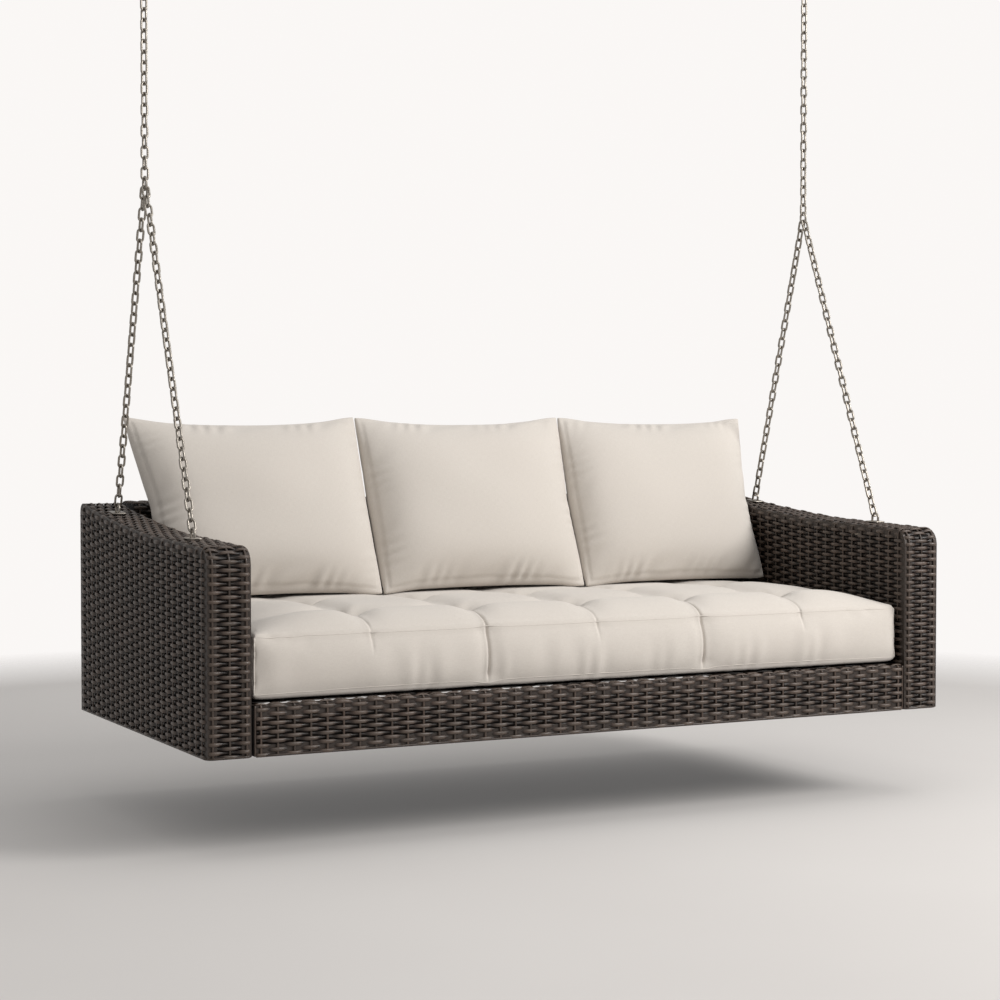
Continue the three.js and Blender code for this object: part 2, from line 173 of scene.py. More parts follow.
# camera and stage
CAMERA_PLACE = (-2.510, -4.917, -1.278)
CAMERA_TURN = math.radians(27.06)
CAMERA_DIP = math.radians(1.96)
LENS = 77.94
FLOOR_BELOW_SEAT = 0.22
FLOOR_RADIUS = 3.9
FLOOR_SIDES = 64
AMBIENT = 0.50

X_AXIS, Y_AXIS, Z_AXIS = np.eye(3)


def add_camera():
    data = bpy.data.cameras.new("camera")
    data.lens = LENS
    data.sensor_width = 36
    camera = bpy.data.objects.new("camera", data)
    camera.location = CAMERA_PLACE
    camera.rotation_euler = (math.pi / 2 - CAMERA_DIP, 0, -CAMERA_TURN)
    scene.collection.objects.link(camera)
    scene.camera = camera


# ---- materials ------------------------------------------------------------------------------
class Shader:
    """A small helper that adds and links the nodes of one material."""

    def __init__(self, name, roughness=0.5, metallic=0.0, **sockets):
        self.material = bpy.data.materials.new(name)
        self.material.use_nodes = True
        self.tree = self.material.node_tree
        self.surface = self.tree.nodes["Principled BSDF"]
        self.surface.inputs["Roughness"].default_value = roughness
        self.surface.inputs["Metallic"].default_value = metallic
        for socket, value in sockets.items():
            self.surface.inputs[socket.replace("_", " ")].default_value = value

    def node(self, kind, inputs=None, **settings):
        made = self.tree.nodes.new(kind)
        for key, value in settings.items():
            setattr(made, key, value)
        for key, value in (inputs or {}).items():
            self.feed(made.inputs[key], value)
        return made

    def feed(self, socket, value):
        if isinstance(value, bpy.types.NodeSocket):
            self.tree.links.new(value, socket)
        else:
            socket.default_value = value

    def attribute(self, name, output="Fac"):
        return self.node("ShaderNodeAttribute", attribute_name=name).outputs[output]

    def objects_own(self):
        return self.node("ShaderNodeTexCoord").outputs["Object"]

    def scaled(self, vector, scale):
        return self.node("ShaderNodeMapping", {"Vector": vector, "Scale": scale}).outputs[0]

    def noise(self, vector, scale, detail=3.0, roughness=0.5):
        inputs = {"Vector": vector, "Scale": scale, "Detail": detail, "Roughness": roughness}
        return self.node("ShaderNodeTexNoise", inputs).outputs[0]

    def wave(self, vector, scale, direction, distortion=0.0):
        inputs = {"Vector": vector, "Scale": scale, "Distortion": distortion}
        return self.node("ShaderNodeTexWave", inputs, bands_direction=direction).outputs["Fac"]

    def math(self, operation, first, second):
        return self.node("ShaderNodeMath", {0: first, 1: second}, operation=operation).outputs[0]

    def span(self, value, low, high, new_low, new_high):
        inputs = {0: value, 1: low, 2: high, 3: new_low, 4: new_high}
        return self.node("ShaderNodeMapRange", inputs).outputs[0]

    def mix(self, factor, first, second):
        mixer = self.node("ShaderNodeMix", data_type="RGBA")
        for index, value in ((0, factor), (6, first), (7, second)):
            self.feed(mixer.inputs[index], value)
        return mixer.outputs[2]

    def colour(self, value):
        self.feed(self.surface.inputs["Base Color"], value)

    def rough(self, value):
        self.feed(self.surface.inputs["Roughness"], value)

    def bump(self, height, distance, strength=1.0):
        inputs = {"Height": height, "Distance": distance, "Strength": strength}
        made = self.node("ShaderNodeBump", inputs)
        self.feed(self.surface.inputs["Normal"], made.outputs[0])


def rgb(red, green, blue):
    """A colour given as 0-255 screen values, as the shader's own linear numbers."""
    return (*[(c / 255) ** 2.2 for c in (red, green, blue)], 1)


def wicker_material():
    """Extruded resin strand: dark espresso, grooved along its length, painted paler where it crowns
    (partly wear, partly a painted highlight) and darker where it dips (painted shade).
    """
    s = Shader("espresso_wicker", 0.4, Specular_IOR_Level=0.38)
    tone = s.attribute("tone")
    crown_wear_highlight_and_shade = s.attribute("crown_wear_highlight_and_shade")
    along = s.attribute("grain", "Vector")
    streaks = s.noise(s.scaled(along, (14, 1.6, 1)), 6.0, 4.0)
    base = s.mix(tone, rgb(27, 20, 17), rgb(65, 52, 45))
    base = s.mix(s.span(streaks, 0.35, 0.75, 0, 0.4), base, rgb(81, 68, 60))
    # Paler where a strand crowns over a stake: partly wear, partly a painted highlight.
    base = s.mix(s.span(crown_wear_highlight_and_shade, 0.35, 1, 0, 0.3), base, rgb(118, 105, 95))
    # Darker where a strand dips under a stake, and on pieces given a low crown share: painted shade.
    base = s.mix(s.span(crown_wear_highlight_and_shade, 0, 0.6, 0.7, 0), base, rgb(15, 11, 9))
    s.colour(base)
    s.rough(s.span(streaks, 0.2, 0.8, 0.26, 0.42))
    grooves = s.noise(s.scaled(along, (3, 9, 1)), 3.0, 3.0)
    s.bump(grooves, 0.0006, 0.7)
    return s.material


def shade_liner_material():
    """A near-black layer inside the weave, seen only through the gaps: painted shade for the hollow behind
    the strands.
    """
    s = Shader("wicker_inside_painted_shade", 0.8)
    mottle = s.noise(s.objects_own(), 60.0)
    s.colour(s.mix(mottle, rgb(14, 11, 10), rgb(27, 22, 20)))
    s.bump(mottle, 0.001, 0.5)
    return s.material


def steel_material():
    """Zinc-plated chain steel, warm grey and a little mottled."""
    s = Shader("plated_steel", 0.32, 1.0)
    place = s.objects_own()
    patches = s.noise(place, 170.0, 4.0, 0.6)
    fine = s.noise(place, 900.0, 2.0)
    s.colour(s.mix(patches, rgb(118, 111, 103), rgb(186, 180, 171)))
    s.rough(s.span(patches, 0.25, 0.75, 0.24, 0.46))
    s.bump(fine, 0.0003, 0.35)
    return s.material


def frame_material():
    """Powder-coated aluminium tube, the colour of the wicker, with a fine orange peel."""
    s = Shader("coated_aluminium", 0.45, 0.25)
    place = s.objects_own()
    peel = s.noise(place, 900.0, 2.0)
    s.colour(s.mix(s.noise(place, 7.0), rgb(46, 39, 35), rgb(58, 50, 45)))
    s.rough(s.span(peel, 0.3, 0.7, 0.4, 0.55))
    s.bump(peel, 0.0004, 0.3)
    return s.material


def fabric_material():
    """Plain-weave outdoor canvas in warm pale greige, with slub and a soft bloom."""
    s = Shader("greige_canvas", 0.92, Specular_IOR_Level=0.2, Sheen_Weight=0.25, Sheen_Roughness=0.6)
    cloth = s.attribute("cloth", "Vector")
    slub = s.noise(s.scaled(cloth, (30, 420, 1)), 3.0, 3.0)
    cross = s.noise(s.scaled(cloth, (420, 30, 1)), 3.0, 3.0)
    cloud = s.noise(s.objects_own(), 5.0, 3.0)
    warp = s.wave(cloth, 330.0, "X", 0.6)
    weft = s.wave(cloth, 330.0, "Y", 0.6)
    weave = s.math("MULTIPLY", warp, weft)
    threads = s.math("ADD", slub, cross)
    base = s.mix(s.span(threads, 0.75, 1.25, 0, 1), rgb(196, 189, 181), rgb(206, 200, 192))
    base = s.mix(s.span(cloud, 0.3, 0.7, 0, 0.3), base, rgb(203, 195, 187))
    base = s.mix(s.span(weave, 0.0, 1.0, 0.08, 0), base, rgb(150, 141, 130))
    s.colour(base)
    s.rough(s.span(threads, 0.6, 1.4, 0.86, 0.97))
    s.bump(s.math("ADD", weave, s.math("MULTIPLY", threads, 0.6)), 0.0005, 0.35)
    return s.material


def floor_material():
    # The floor glows a little (Emission_Strength): painted light that lifts the shadow under the seat.
    s = Shader("pale_floor_painted_glow", 0.7, Emission_Strength=0.075)
    place = s.objects_own()
    s.colour(s.mix(s.noise(place, 0.8), rgb(190, 186, 183), rgb(200, 197, 194)))
    radius = s.node("ShaderNodeVectorMath", {0: place}, operation="LENGTH").outputs["Value"]
    s.feed(s.surface.inputs["Alpha"], s.span(radius, FLOOR_RADIUS * 0.72, FLOOR_RADIUS, 1, 0))
    return s.material


MATERIALS = {
    "woven_wicker": wicker_material(),
    "chain_steel": steel_material(),
    "frame_aluminium": frame_material(),
    "cushion_fabric": fabric_material(),
}
SHADE_LINER = shade_liner_material()


# ---- meshes ---------------------------------------------------------------------------------
def columns(*parts):
    """Rows of coordinates from arrays and single numbers."""
    return np.stack(np.broadcast_arrays(*parts), -1)


def unit(v):
    return v / np.linalg.norm(v, axis=-1, keepdims=True)


def centre(low, high):
    return (np.array(low) + np.array(high)) / 2


def travel(path):
    """Distance from a path's start to each of its points."""
    return np.concatenate([[0], np.cumsum(np.linalg.norm(np.diff(path, axis=0), axis=1))])


def floats(values):
    return np.asarray(values, np.float32).ravel()


def read_vectors(items, key):
    values = np.zeros(len(items) * 3, np.float32)
    items.foreach_get(key, values)
    return values.reshape(-1, 3)


def move_points(mesh, points):
    mesh.vertices.foreach_set("co", floats(points))
    mesh.update()


def make_piece(name, points, faces, slot, body, replaced=(), attributes=None, material=None):
    """A smooth mesh object from arrays, riding on a body."""
    mesh = bpy.data.meshes.new(name)
    faces = np.asarray(faces, np.int32)
    starts = np.arange(0, faces.size, faces.shape[1], dtype=np.int32)
    mesh.vertices.add(len(points))
    mesh.vertices.foreach_set("co", floats(points))
    mesh.loops.add(faces.size)
    mesh.loops.foreach_set("vertex_index", faces.ravel())
    mesh.polygons.add(len(faces))
    mesh.polygons.foreach_set("loop_start", starts)
    mesh.update(calc_edges=True)
    mesh.shade_smooth()
    for key, values in (attributes or {}).items():
        kind, field = ("FLOAT", "value") if values.ndim == 1 else ("FLOAT_VECTOR", "vector")
        mesh.attributes.new(key, kind, "POINT").data.foreach_set(field, floats(values))
    mesh.materials.append(material or MATERIALS[slot])
    made = bpy.data.objects.new(name, mesh)
    scene.collection.objects.link(made)
    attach(made, body)
    if replaced:
        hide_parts(*replaced)
    return made


# A closed layer behind the weave, coloured near-black as painted shade.
def make_shade_layer(name, points, faces):
    make_piece(name, points, faces, "woven_wicker", "seat", material=SHADE_LINER)


def ring_quads(rings, around, closed=False):
    """Quads between neighbouring rings of points, two corners on each ring."""
    gaps = np.arange(rings if closed else rings - 1)
    i, j = np.meshgrid(gaps, np.arange(around), indexing="ij")
    near, far = i * around, (i + 1) % rings * around
    beside = (j + 1) % around
    return np.stack([near + j, near + beside, far + beside, far + j], -1).reshape(-1, 4)


def ladder(around):
    """Quads that close one ring of points, like rungs."""
    return np.array([[k, k + 1, around - 2 - k, around - 1 - k] for k in range(around // 2 - 1)])


def half_round(count=6):
    """A strand's section, width and height both 1: crowned outside, flat inside."""
    angles = np.linspace(0, math.pi, count)
    return np.stack([np.cos(angles) / 2, np.sin(angles) - 0.5], 1)


def oval(count=8):
    angles = np.arange(count) * 2 * math.pi / count
    return np.stack([np.cos(angles), np.sin(angles)], 1) / 2


class Bundle:
    """Swept strands, wires and stakes gathered into one mesh."""

    def __init__(self):
        self.points, self.faces = [], []
        self.tone, self.grain, self.crown_wear_highlight_and_shade = [], [], []
        self.count = 0

    def sweep(self, path, normals, section, wide, thick, tone=0.5, crown_wear_highlight_and_shade=0.0, closed=False):
        """Sweeps a section along a path. Its height lies along the normals."""
        n, m = len(path), len(section)
        if closed:
            ahead = unit(np.roll(path, -1, 0) - np.roll(path, 1, 0))
        else:
            ahead = unit(np.gradient(path, axis=0))
        across = unit(np.cross(normals, ahead))
        out = np.cross(ahead, across)
        wide, thick = (np.broadcast_to(size, n)[:, None, None] for size in (wide, thick))
        ring = path[:, None] + across[:, None] * section[:, :1] * wide
        ring = ring + out[:, None] * section[:, 1:] * thick
        quads = ring_quads(n, m, closed)
        if not closed:
            fan = np.array([[0, k + 1, k + 2, k + 3] for k in range(0, m - 2, 2)])
            quads = np.vstack([quads, fan[:, ::-1], fan + (n - 1) * m])
        grain = columns(travel(path)[:, None], np.arange(m) / m, np.mean(tone) * 37.0)
        self.points.append(ring.reshape(-1, 3))
        self.faces.append(quads + self.count)
        self.tone.append(np.repeat(np.broadcast_to(tone, n), m))
        # The crown share goes to the shader, which paints crowns paler (wear and painted highlight) and
        # dips darker (painted shade).
        self.crown_wear_highlight_and_shade.append(np.repeat(np.broadcast_to(crown_wear_highlight_and_shade, n), m))
        self.grain.append(grain.reshape(-1, 3))
        self.count += n * m

    def piece(self, name, slot="woven_wicker", body="seat", replaced=(), mirror=False):
        points = np.vstack(self.points)
        faces = np.vstack(self.faces)
        if mirror:
            points, faces = points * [-1, 1, 1], faces[:, ::-1]
        attributes = {
            "tone": np.concatenate(self.tone),
            "crown_wear_highlight_and_shade": np.concatenate(self.crown_wear_highlight_and_shade),
            "grain": np.vstack(self.grain),
        }
        if slot != "woven_wicker":
            attributes = None
        return make_piece(name, points, faces, slot, body, replaced, attributes)


# ---- the woven surface ----------------------------------------------------------------------
arm_low, arm_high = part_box("right_arm_cover")
back_low, back_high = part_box("back_cover")
apron_low, apron_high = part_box("apron_cover")
FRONT, REAR, FOOT = arm_low.y, arm_high.y, arm_low.z
ARM_WIDE = arm_high.x - arm_low.x
ARM_X = (arm_high.x + arm_low.x) / 2
DEPTH = REAR - FRONT
BACK_THICK = back_high.y - back_low.y
BACK_TALL = back_high.z - FOOT
QUARTER = EDGE * math.pi / 2
REAR_QUARTER = REAR_EDGE * math.pi / 2
FLAT = ARM_WIDE / 2 - EDGE  # half of the arm's flat front, between its rounded edges
HALF_TOP = FLAT + QUARTER
ARM_START = -(HALF_TOP + DEPTH - BACK_THICK - EDGE)
SIDE_END = HALF_TOP + DEPTH - EDGE - REAR_EDGE
ARM_END = SIDE_END + REAR_QUARTER + ARM_WIDE - REAR_EDGE
HALF_ROUND_TRIP = ARM_END + arm_low.x
PITCH = HALF_ROUND_TRIP / STAKES_IN_HALF


def arm_top_line():
    """The arm's upper edge as a function of the distance from its front, eased at its kinks."""
    edge = {
        (round(v.co.y - FRONT, 5), round(v.co.z - FOOT, 5))
        for v in nodes["right_arm_cover"].data.vertices
        if abs(v.co.x - arm_high.x) < 1e-5 and v.co.z > FOOT + 0.2
    }
    at, tall = np.array(sorted(edge)).T
    keep = (at > FRONT_CORNER) & (at < DEPTH - REAR_CORNER)
    fine = np.linspace(-0.2, DEPTH + 0.2, 1400)
    raw = np.interp(fine, at[keep], tall[keep])
    window = np.hanning(120) / np.hanning(120).sum()
    eased = np.convolve(raw, window, "same")
    return lambda s: np.interp(s, fine, eased)


arm_top = arm_top_line()
ARM_FRONT_TOP = float(arm_top(FRONT_CORNER))


def rounded_end(q, half, radius):
    """A flat end with two rounded edges and legs: offset across, drop, and the outward normal."""
    flat = half - radius
    quarter = radius * math.pi / 2
    side = np.sign(q)
    a = np.abs(q)
    angle = np.clip((a - flat) / radius, 0, math.pi / 2)
    across = side * (np.minimum(a, flat) + radius * np.sin(angle))
    drop = radius * (1 - np.cos(angle)) + np.maximum(a - flat - quarter, 0)
    return across, drop, side * np.sin(angle), np.cos(angle)


def round_the_arm(u):
    """Plan of a side row, u metres from the middle of the arm's front: x, depth and normal."""
    x, s, nx, ns = rounded_end(u, ARM_WIDE / 2, EDGE)
    turn = np.clip((u - SIDE_END) / REAR_EDGE, 0, math.pi / 2)
    past = u > SIDE_END
    along = np.maximum(u - SIDE_END - REAR_QUARTER, 0)
    x = np.where(past, ARM_WIDE / 2 - REAR_EDGE * (1 - np.cos(turn)) - along, x)
    s = np.where(past, DEPTH - REAR_EDGE * (1 - np.sin(turn)), s)
    nx = np.where(past, np.cos(turn), nx)
    ns = np.where(past, np.sin(turn), -ns)
    return x, s, nx, ns


def ripple(u, parity):
    """How far a strand has crossed from under (-1) to over (1), with stakes at each whole pitch."""
    wave = np.cos(math.pi * u / PITCH) * (1 if parity % 2 == 0 else -1)
    share = np.clip(((wave + 1) / 2 - CREST[0]) / (CREST[1] - CREST[0]), 0, 1)
    return 2 * share**2 * (3 - 2 * share) - 1


def chance(first, second):
    """A repeatable random share for each pair of whole numbers."""
    raw = np.sin(first * 127.1 + second * 311.7) * 43758.5453
    return raw - np.floor(raw)


def unevenness(u, row):
    """A slow hand-woven wander between -1 and 1."""
    return 0.6 * np.sin(u * 31 + row * 2.4) + 0.4 * np.sin(u * 83 + row * 5.1)


def strand_tone(row):
    return 0.5 + 0.5 * math.sin(row * 12.9898 + 4.1414)


def weave(bundle, path, normals, u, parity, spacing, dive=0.0):
    """One strand along a path on the woven surface, rippling over and under the stakes."""
    over = ripple(u, parity)
    crossing = np.floor((u / PITCH + (1 if parity % 2 == 0 else 0)) / 2)
    high = OVER - UNEVEN * chance(crossing, parity + 0.5)
    depth = (high + UNDER) / 2 + (high - UNDER) / 2 * over
    from_end = np.minimum(np.abs(u - u[0]), np.abs(u - u[-1]))
    depth = depth - dive * np.clip(1 - from_end / DIVE_RUN, 0, 1)
    wide = spacing * STRAND_FILL * (0.90 + 0.10 * (over + 1) / 2 + 0.03 * unevenness(u, parity))
    tone = 0.35 * strand_tone(parity) + 0.65 * chance(crossing, parity)
    laid = path + normals * depth[:, None]
    # The over share is passed on as the crown share: paler crowns (wear and painted highlight), darker
    # dips (painted shade).
    bundle.sweep(laid, normals, half_round(), wide, STRAND_THICK, tone, (over + 1) / 2)


def stake(bundle, path, normals, tone):
    # A crown share of 0.7 gives the stakes a little of the paler crown colour: wear and painted highlight.
    bundle.sweep(path - normals * STAKE_DEPTH, normals, oval(6), *STAKE_SIZE, tone, 0.7)


def side_row_heights(s, share):
    """Height of a side row that fills a share of the arm's height, and the row spacing there."""
    tall = arm_top(np.clip(s, FRONT_CORNER, DEPTH - REAR_CORNER)) - EDGE
    tall = np.where(s >= DEPTH - REAR_CORNER, BACK_TALL - EDGE, tall)
    return tall * share, tall / SIDE_ROWS


def front_recess(z):
    """How far the arm's front lies back at a height, where its top corner rounds, and the tilt."""
    rise = np.clip((z - ARM_FRONT_TOP + FRONT_CORNER) / FRONT_CORNER, 0, 0.98)
    return FRONT_CORNER * (1 - np.sqrt(1 - rise**2)), rise


def arm_side_row(bundle, row):
    steps = int((ARM_END + HALF_TOP + DEPTH) / PITCH * STEPS_PER_STAKE)
    u = np.linspace(ARM_START, ARM_END, steps)
    x, s, nx, ns = round_the_arm(u)
    z, spacing = side_row_heights(s, (row + 0.5) / SIDE_ROWS)
    z = z + WANDER * unevenness(u, row)
    recess, tilt = front_recess(z)
    fade = np.clip(1 - s / 0.06, 0, 1)
    up = tilt * fade * np.maximum(-ns, 0)
    normals = unit(columns(nx, ns * np.sqrt(1 - up**2), up))
    path = columns(ARM_X + x, FRONT + (s + recess * fade), FOOT + z)
    weave(bundle, path, normals, u, row, spacing)


def arm_top_profile(drop, from_angle, to_angle):
    """Side view of the arm's top line at a drop below its surface: depth, height, normal."""
    front = np.radians(np.linspace(from_angle, 90, 9))
    radius = FRONT_CORNER - drop
    s0 = FRONT_CORNER - radius * np.cos(front)
    z0 = ARM_FRONT_TOP - FRONT_CORNER + radius * np.sin(front)
    s1 = np.linspace(FRONT_CORNER, DEPTH - REAR_CORNER, 150)[1:-1]
    z1 = arm_top(s1) - drop
    rear = np.radians(np.linspace(90, to_angle, 7))
    radius = max(REAR_CORNER - drop, 0.004)
    s2 = DEPTH - REAR_CORNER + radius * np.cos(rear)
    z2 = float(arm_top(DEPTH - REAR_CORNER)) - REAR_CORNER + (REAR_CORNER - drop) * np.sin(rear)
    s = np.concatenate([s0, s1, s2])
    z = np.concatenate([z0, z1, z2])
    back = np.concatenate([-np.cos(front), np.zeros(len(s1)), np.cos(rear)])
    return s, z, back, np.sqrt(1 - back**2)


def arm_brow_rows(bundle):
    """Rows that carry the front's weave over the arm's rounded front corner."""
    u = np.linspace(-HALF_TOP, HALF_TOP, 34)
    x, drop, nx, level = rounded_end(u, ARM_WIDE / 2, EDGE)
    step = (math.pi / 2 - BROW_START) / BROW_ROWS
    radius = FRONT_CORNER - drop
    for row in range(BROW_ROWS):
        angle = BROW_START + step * (row + 0.5)
        s = FRONT_CORNER - radius * math.cos(angle)
        z = ARM_FRONT_TOP - FRONT_CORNER + radius * math.sin(angle)
        normals = columns(nx, -level * math.cos(angle), level * math.sin(angle))
        path = columns(ARM_X + x, FRONT + s, FOOT + z)
        weave(bundle, path, normals, u, SIDE_ROWS + row, step * FRONT_CORNER, DIVE)


def arm_top_strands(bundle):
    count = round(2 * HALF_TOP / ROW_SPACING)
    spacing = 2 * HALF_TOP / count
    for j in range(count):
        q = np.array(spacing * (j + 0.5) - HALF_TOP)
        x, drop, nx, level = (float(v) for v in rounded_end(q, ARM_WIDE / 2, EDGE))
        s, z, back, up = arm_top_profile(drop, 78, 30)
        normals = unit(columns(nx, level * back, level * up))
        path = columns(ARM_X + x, FRONT + s, FOOT + z)
        run = np.concatenate([[0], np.cumsum(np.hypot(np.diff(s), np.diff(z)))])
        u = HALF_TOP - EDGE + s[20] + run - run[20]
        weave(bundle, path, normals, u, SIDE_ROWS + j, spacing, DIVE)


def arm_side_stakes(bundle, first, last):
    """Stakes up the outer side, over the top and part of the way down the inner side."""
    over = np.linspace(HALF_TOP, -HALF_TOP, 22)
    for i in range(first, last + 1):
        s = i * PITCH - HALF_TOP + EDGE
        tall = float(arm_top(max(s, FRONT_CORNER)))
        legs = np.linspace(STAKE_FOOT, tall - EDGE, 24)
        inner = -(HALF_TOP + legs[:-12] + STAKE_FOOT)
        q = np.concatenate([HALF_TOP + (tall - EDGE - legs), over, inner])
        x, drop, nx, up = rounded_end(q, ARM_WIDE / 2, EDGE)
        path = columns(ARM_X + x, FRONT + s, FOOT + tall - drop)
        stake(bundle, path, unit(columns(nx, 0.0, up)), strand_tone(i * 3))


def arm_front_stakes(bundle):
    """Stakes up the front and over its rounded corner."""
    s, z, back, up = arm_top_profile(0.0, 0, 34)
    near = s < 0.10
    s, z, back, up = s[near], z[near], back[near], up[near]
    legs = np.linspace(STAKE_FOOT, z[0], 30)[:-1]
    s, z = np.concatenate([legs * 0, s]), np.concatenate([legs, z])
    back, up = np.concatenate([legs * 0 - 1, back]), np.concatenate([legs * 0, up])
    normals = columns(0.0, back, up)
    tuck = normals * STAKE_TUCK * np.clip((s[:, None] - 0.05) / 0.05, 0, 1)
    for i in (-1, 0, 1):
        path = columns(ARM_X + i * PITCH, FRONT + s, FOOT + z) - tuck
        stake(bundle, path, unit(normals), strand_tone(i * 3 + 1))


def arm_stakes(bundle):
    last_on_side = math.floor(SIDE_END / PITCH)
    arm_side_stakes(bundle, math.ceil(HALF_TOP / PITCH), last_on_side)
    arm_front_stakes(bundle)
    z = np.linspace(STAKE_FOOT, BACK_TALL - EDGE, 24)
    for i in range(last_on_side + 1, math.floor(ARM_END / PITCH) + 1):
        x, s, nx, ns = (float(v) for v in round_the_arm(np.array(i * PITCH)))
        path = columns(ARM_X + x, FRONT + s, FOOT + z)
        stake(bundle, path, unit(np.array([nx, ns, 0.0])), strand_tone(i * 3))


def foot_cord(bundle, path, normals):
    """The rolled cord that ends the weave along its lower edge."""
    for depth, height in FOOT_CORDS:
        laid = path - normals * depth
        laid[:, 2] = FOOT + height
        # A crown share of 0.5 gives the foot cords a little paler crown colour and a little painted shade.
        bundle.sweep(laid, normals, oval(6), *FOOT_CORD_SIZE, 0.3, 0.5)


def arm_foot(bundle):
    x, s, nx, ns = round_the_arm(np.linspace(ARM_START, ARM_END, 260))
    foot_cord(bundle, columns(ARM_X + x, FRONT + s, 0.0), columns(nx, ns, 0.0))


def arm_liner(side, mirror):
    """The closed inner layer behind the weave of an arm: one section swept from front to rear. Its
    near-black colour is painted shade.
    """
    s, z, _, _ = arm_top_profile(LINER_DEPTH, 0, 0)
    q = np.linspace(-HALF_TOP, HALF_TOP, 11)
    half = ARM_WIDE / 2 - LINER_DEPTH
    x, drop, _, _ = rounded_end(q * half * 2 / ARM_WIDE, half, EDGE - LINER_DEPTH)
    top = columns(ARM_X + x, FRONT + s[:, None], FOOT + z[:, None] - drop)
    foot = columns(ARM_X + np.array([half, -half]), FRONT + s[:, None], FOOT + FOOT_GAP)
    points = np.concatenate([top, foot], 1)
    n, m = points.shape[:2]
    fan = ladder(m)
    faces = np.vstack([ring_quads(n, m)[:, [0, 3, 2, 1]], fan, fan[:, ::-1] + (n - 1) * m])
    points = points.reshape(-1, 3)
    if mirror:
        points, faces = points * [-1, 1, 1], faces[:, ::-1]
    make_shade_layer(f"{side}_arm_inner_layer", points, faces)


def make_arms():
    for side, mirror in (("right", False), ("left", True)):
        rows, top, stakes = Bundle(), Bundle(), Bundle()
        for row in range(SIDE_ROWS):
            arm_side_row(rows, row)
        rows.piece(f"{side}_arm_woven_sides", replaced=[f"{side}_arm_cover"], mirror=mirror)
        arm_top_strands(top)
        arm_brow_rows(top)
        top.piece(f"{side}_arm_woven_top", mirror=mirror)
        arm_stakes(stakes)
        arm_foot(stakes)
        stakes.piece(f"{side}_arm_stakes", mirror=mirror)
        arm_liner(side, mirror)


def panel_point(x, q, panel):
    """A place on a panel that runs along X, q metres across its top from its middle line."""
    middle, half, edge, top = panel
    across, drop, ny, up = rounded_end(q, half, edge)
    return columns(x, middle + across, top - drop), unit(columns(0.0, ny, up))


def panel_rows(bundle, rows, panel, wide, parity):
    x = np.linspace(-wide, wide, int(2 * wide / PITCH * STEPS_PER_STAKE))
    for index, (q, spacing) in enumerate(rows):
        path, normals = panel_point(x, q + WANDER * unevenness(x, index), panel)
        weave(bundle, path[::-1], normals[::-1], x[::-1], index + parity, spacing)


def panel_stakes(bundle, legs, panel, wide):
    for i in range(-int(wide / PITCH), int(wide / PITCH) + 1):
        path, normals = panel_point(i * PITCH, np.linspace(*legs, 60), panel)
        stake(bundle, path, normals, strand_tone(i * 3 + 2))


def panel_foot(bundle, y, side, wide):
    foot_cord(bundle, columns(np.linspace(-wide, wide, 40), y, 0.0), side * Y_AXIS)


def box_mesh(low, high):
    x, y, z = zip(low, high)
    points = [(a, b, c) for a in x for b in y for c in z]
    faces = [[0, 1, 3, 2], [4, 6, 7, 5], [0, 4, 5, 1], [2, 3, 7, 6], [0, 2, 6, 4], [1, 5, 7, 3]]
    return np.array(points), np.array(faces)


def make_back():
    half = BACK_THICK / 2
    half_top = half - EDGE + QUARTER
    reach = half_top + BACK_TALL - EDGE
    spacing = (BACK_TALL - EDGE) / SIDE_ROWS
    heights = (np.arange(SIDE_ROWS) + 0.5) * spacing
    count = round(2 * half_top / ROW_SPACING)
    step = 2 * half_top / count
    deck = apron_high.z - FOOT
    outer = [(reach - z, spacing) for z in heights]
    top = [(half_top - step * (j + 0.5), step) for j in range(count)]
    inner = [(z - reach, spacing) for z in heights[::-1] if z > deck]
    panel = ((back_low.y + back_high.y) / 2, half, EDGE, back_high.z)
    parity = STAKES_IN_HALF % 2
    for name, rows, replaced in (("outer", outer, ["back_cover"]), ("top", top, ()), ("inner", inner, ())):
        bundle = Bundle()
        panel_rows(bundle, rows, panel, back_high.x, parity)
        bundle.piece(f"back_woven_{name}", replaced=replaced)
        parity += len(rows)
    reach = reach - STAKE_FOOT
    stakes = Bundle()
    panel_stakes(stakes, (reach, deck - reach), panel, back_high.x)
    panel_foot(stakes, back_high.y, 1, back_high.x)
    stakes.piece("back_stakes")
    # A near-black layer behind the back's weave: painted shade.
    low = (-back_high.x, back_low.y + LINER_DEPTH, FOOT + FOOT_GAP)
    high = (back_high.x, back_high.y - LINER_DEPTH, back_high.z - LINER_DEPTH)
    make_shade_layer("back_inner_layer", *box_mesh(low, high))


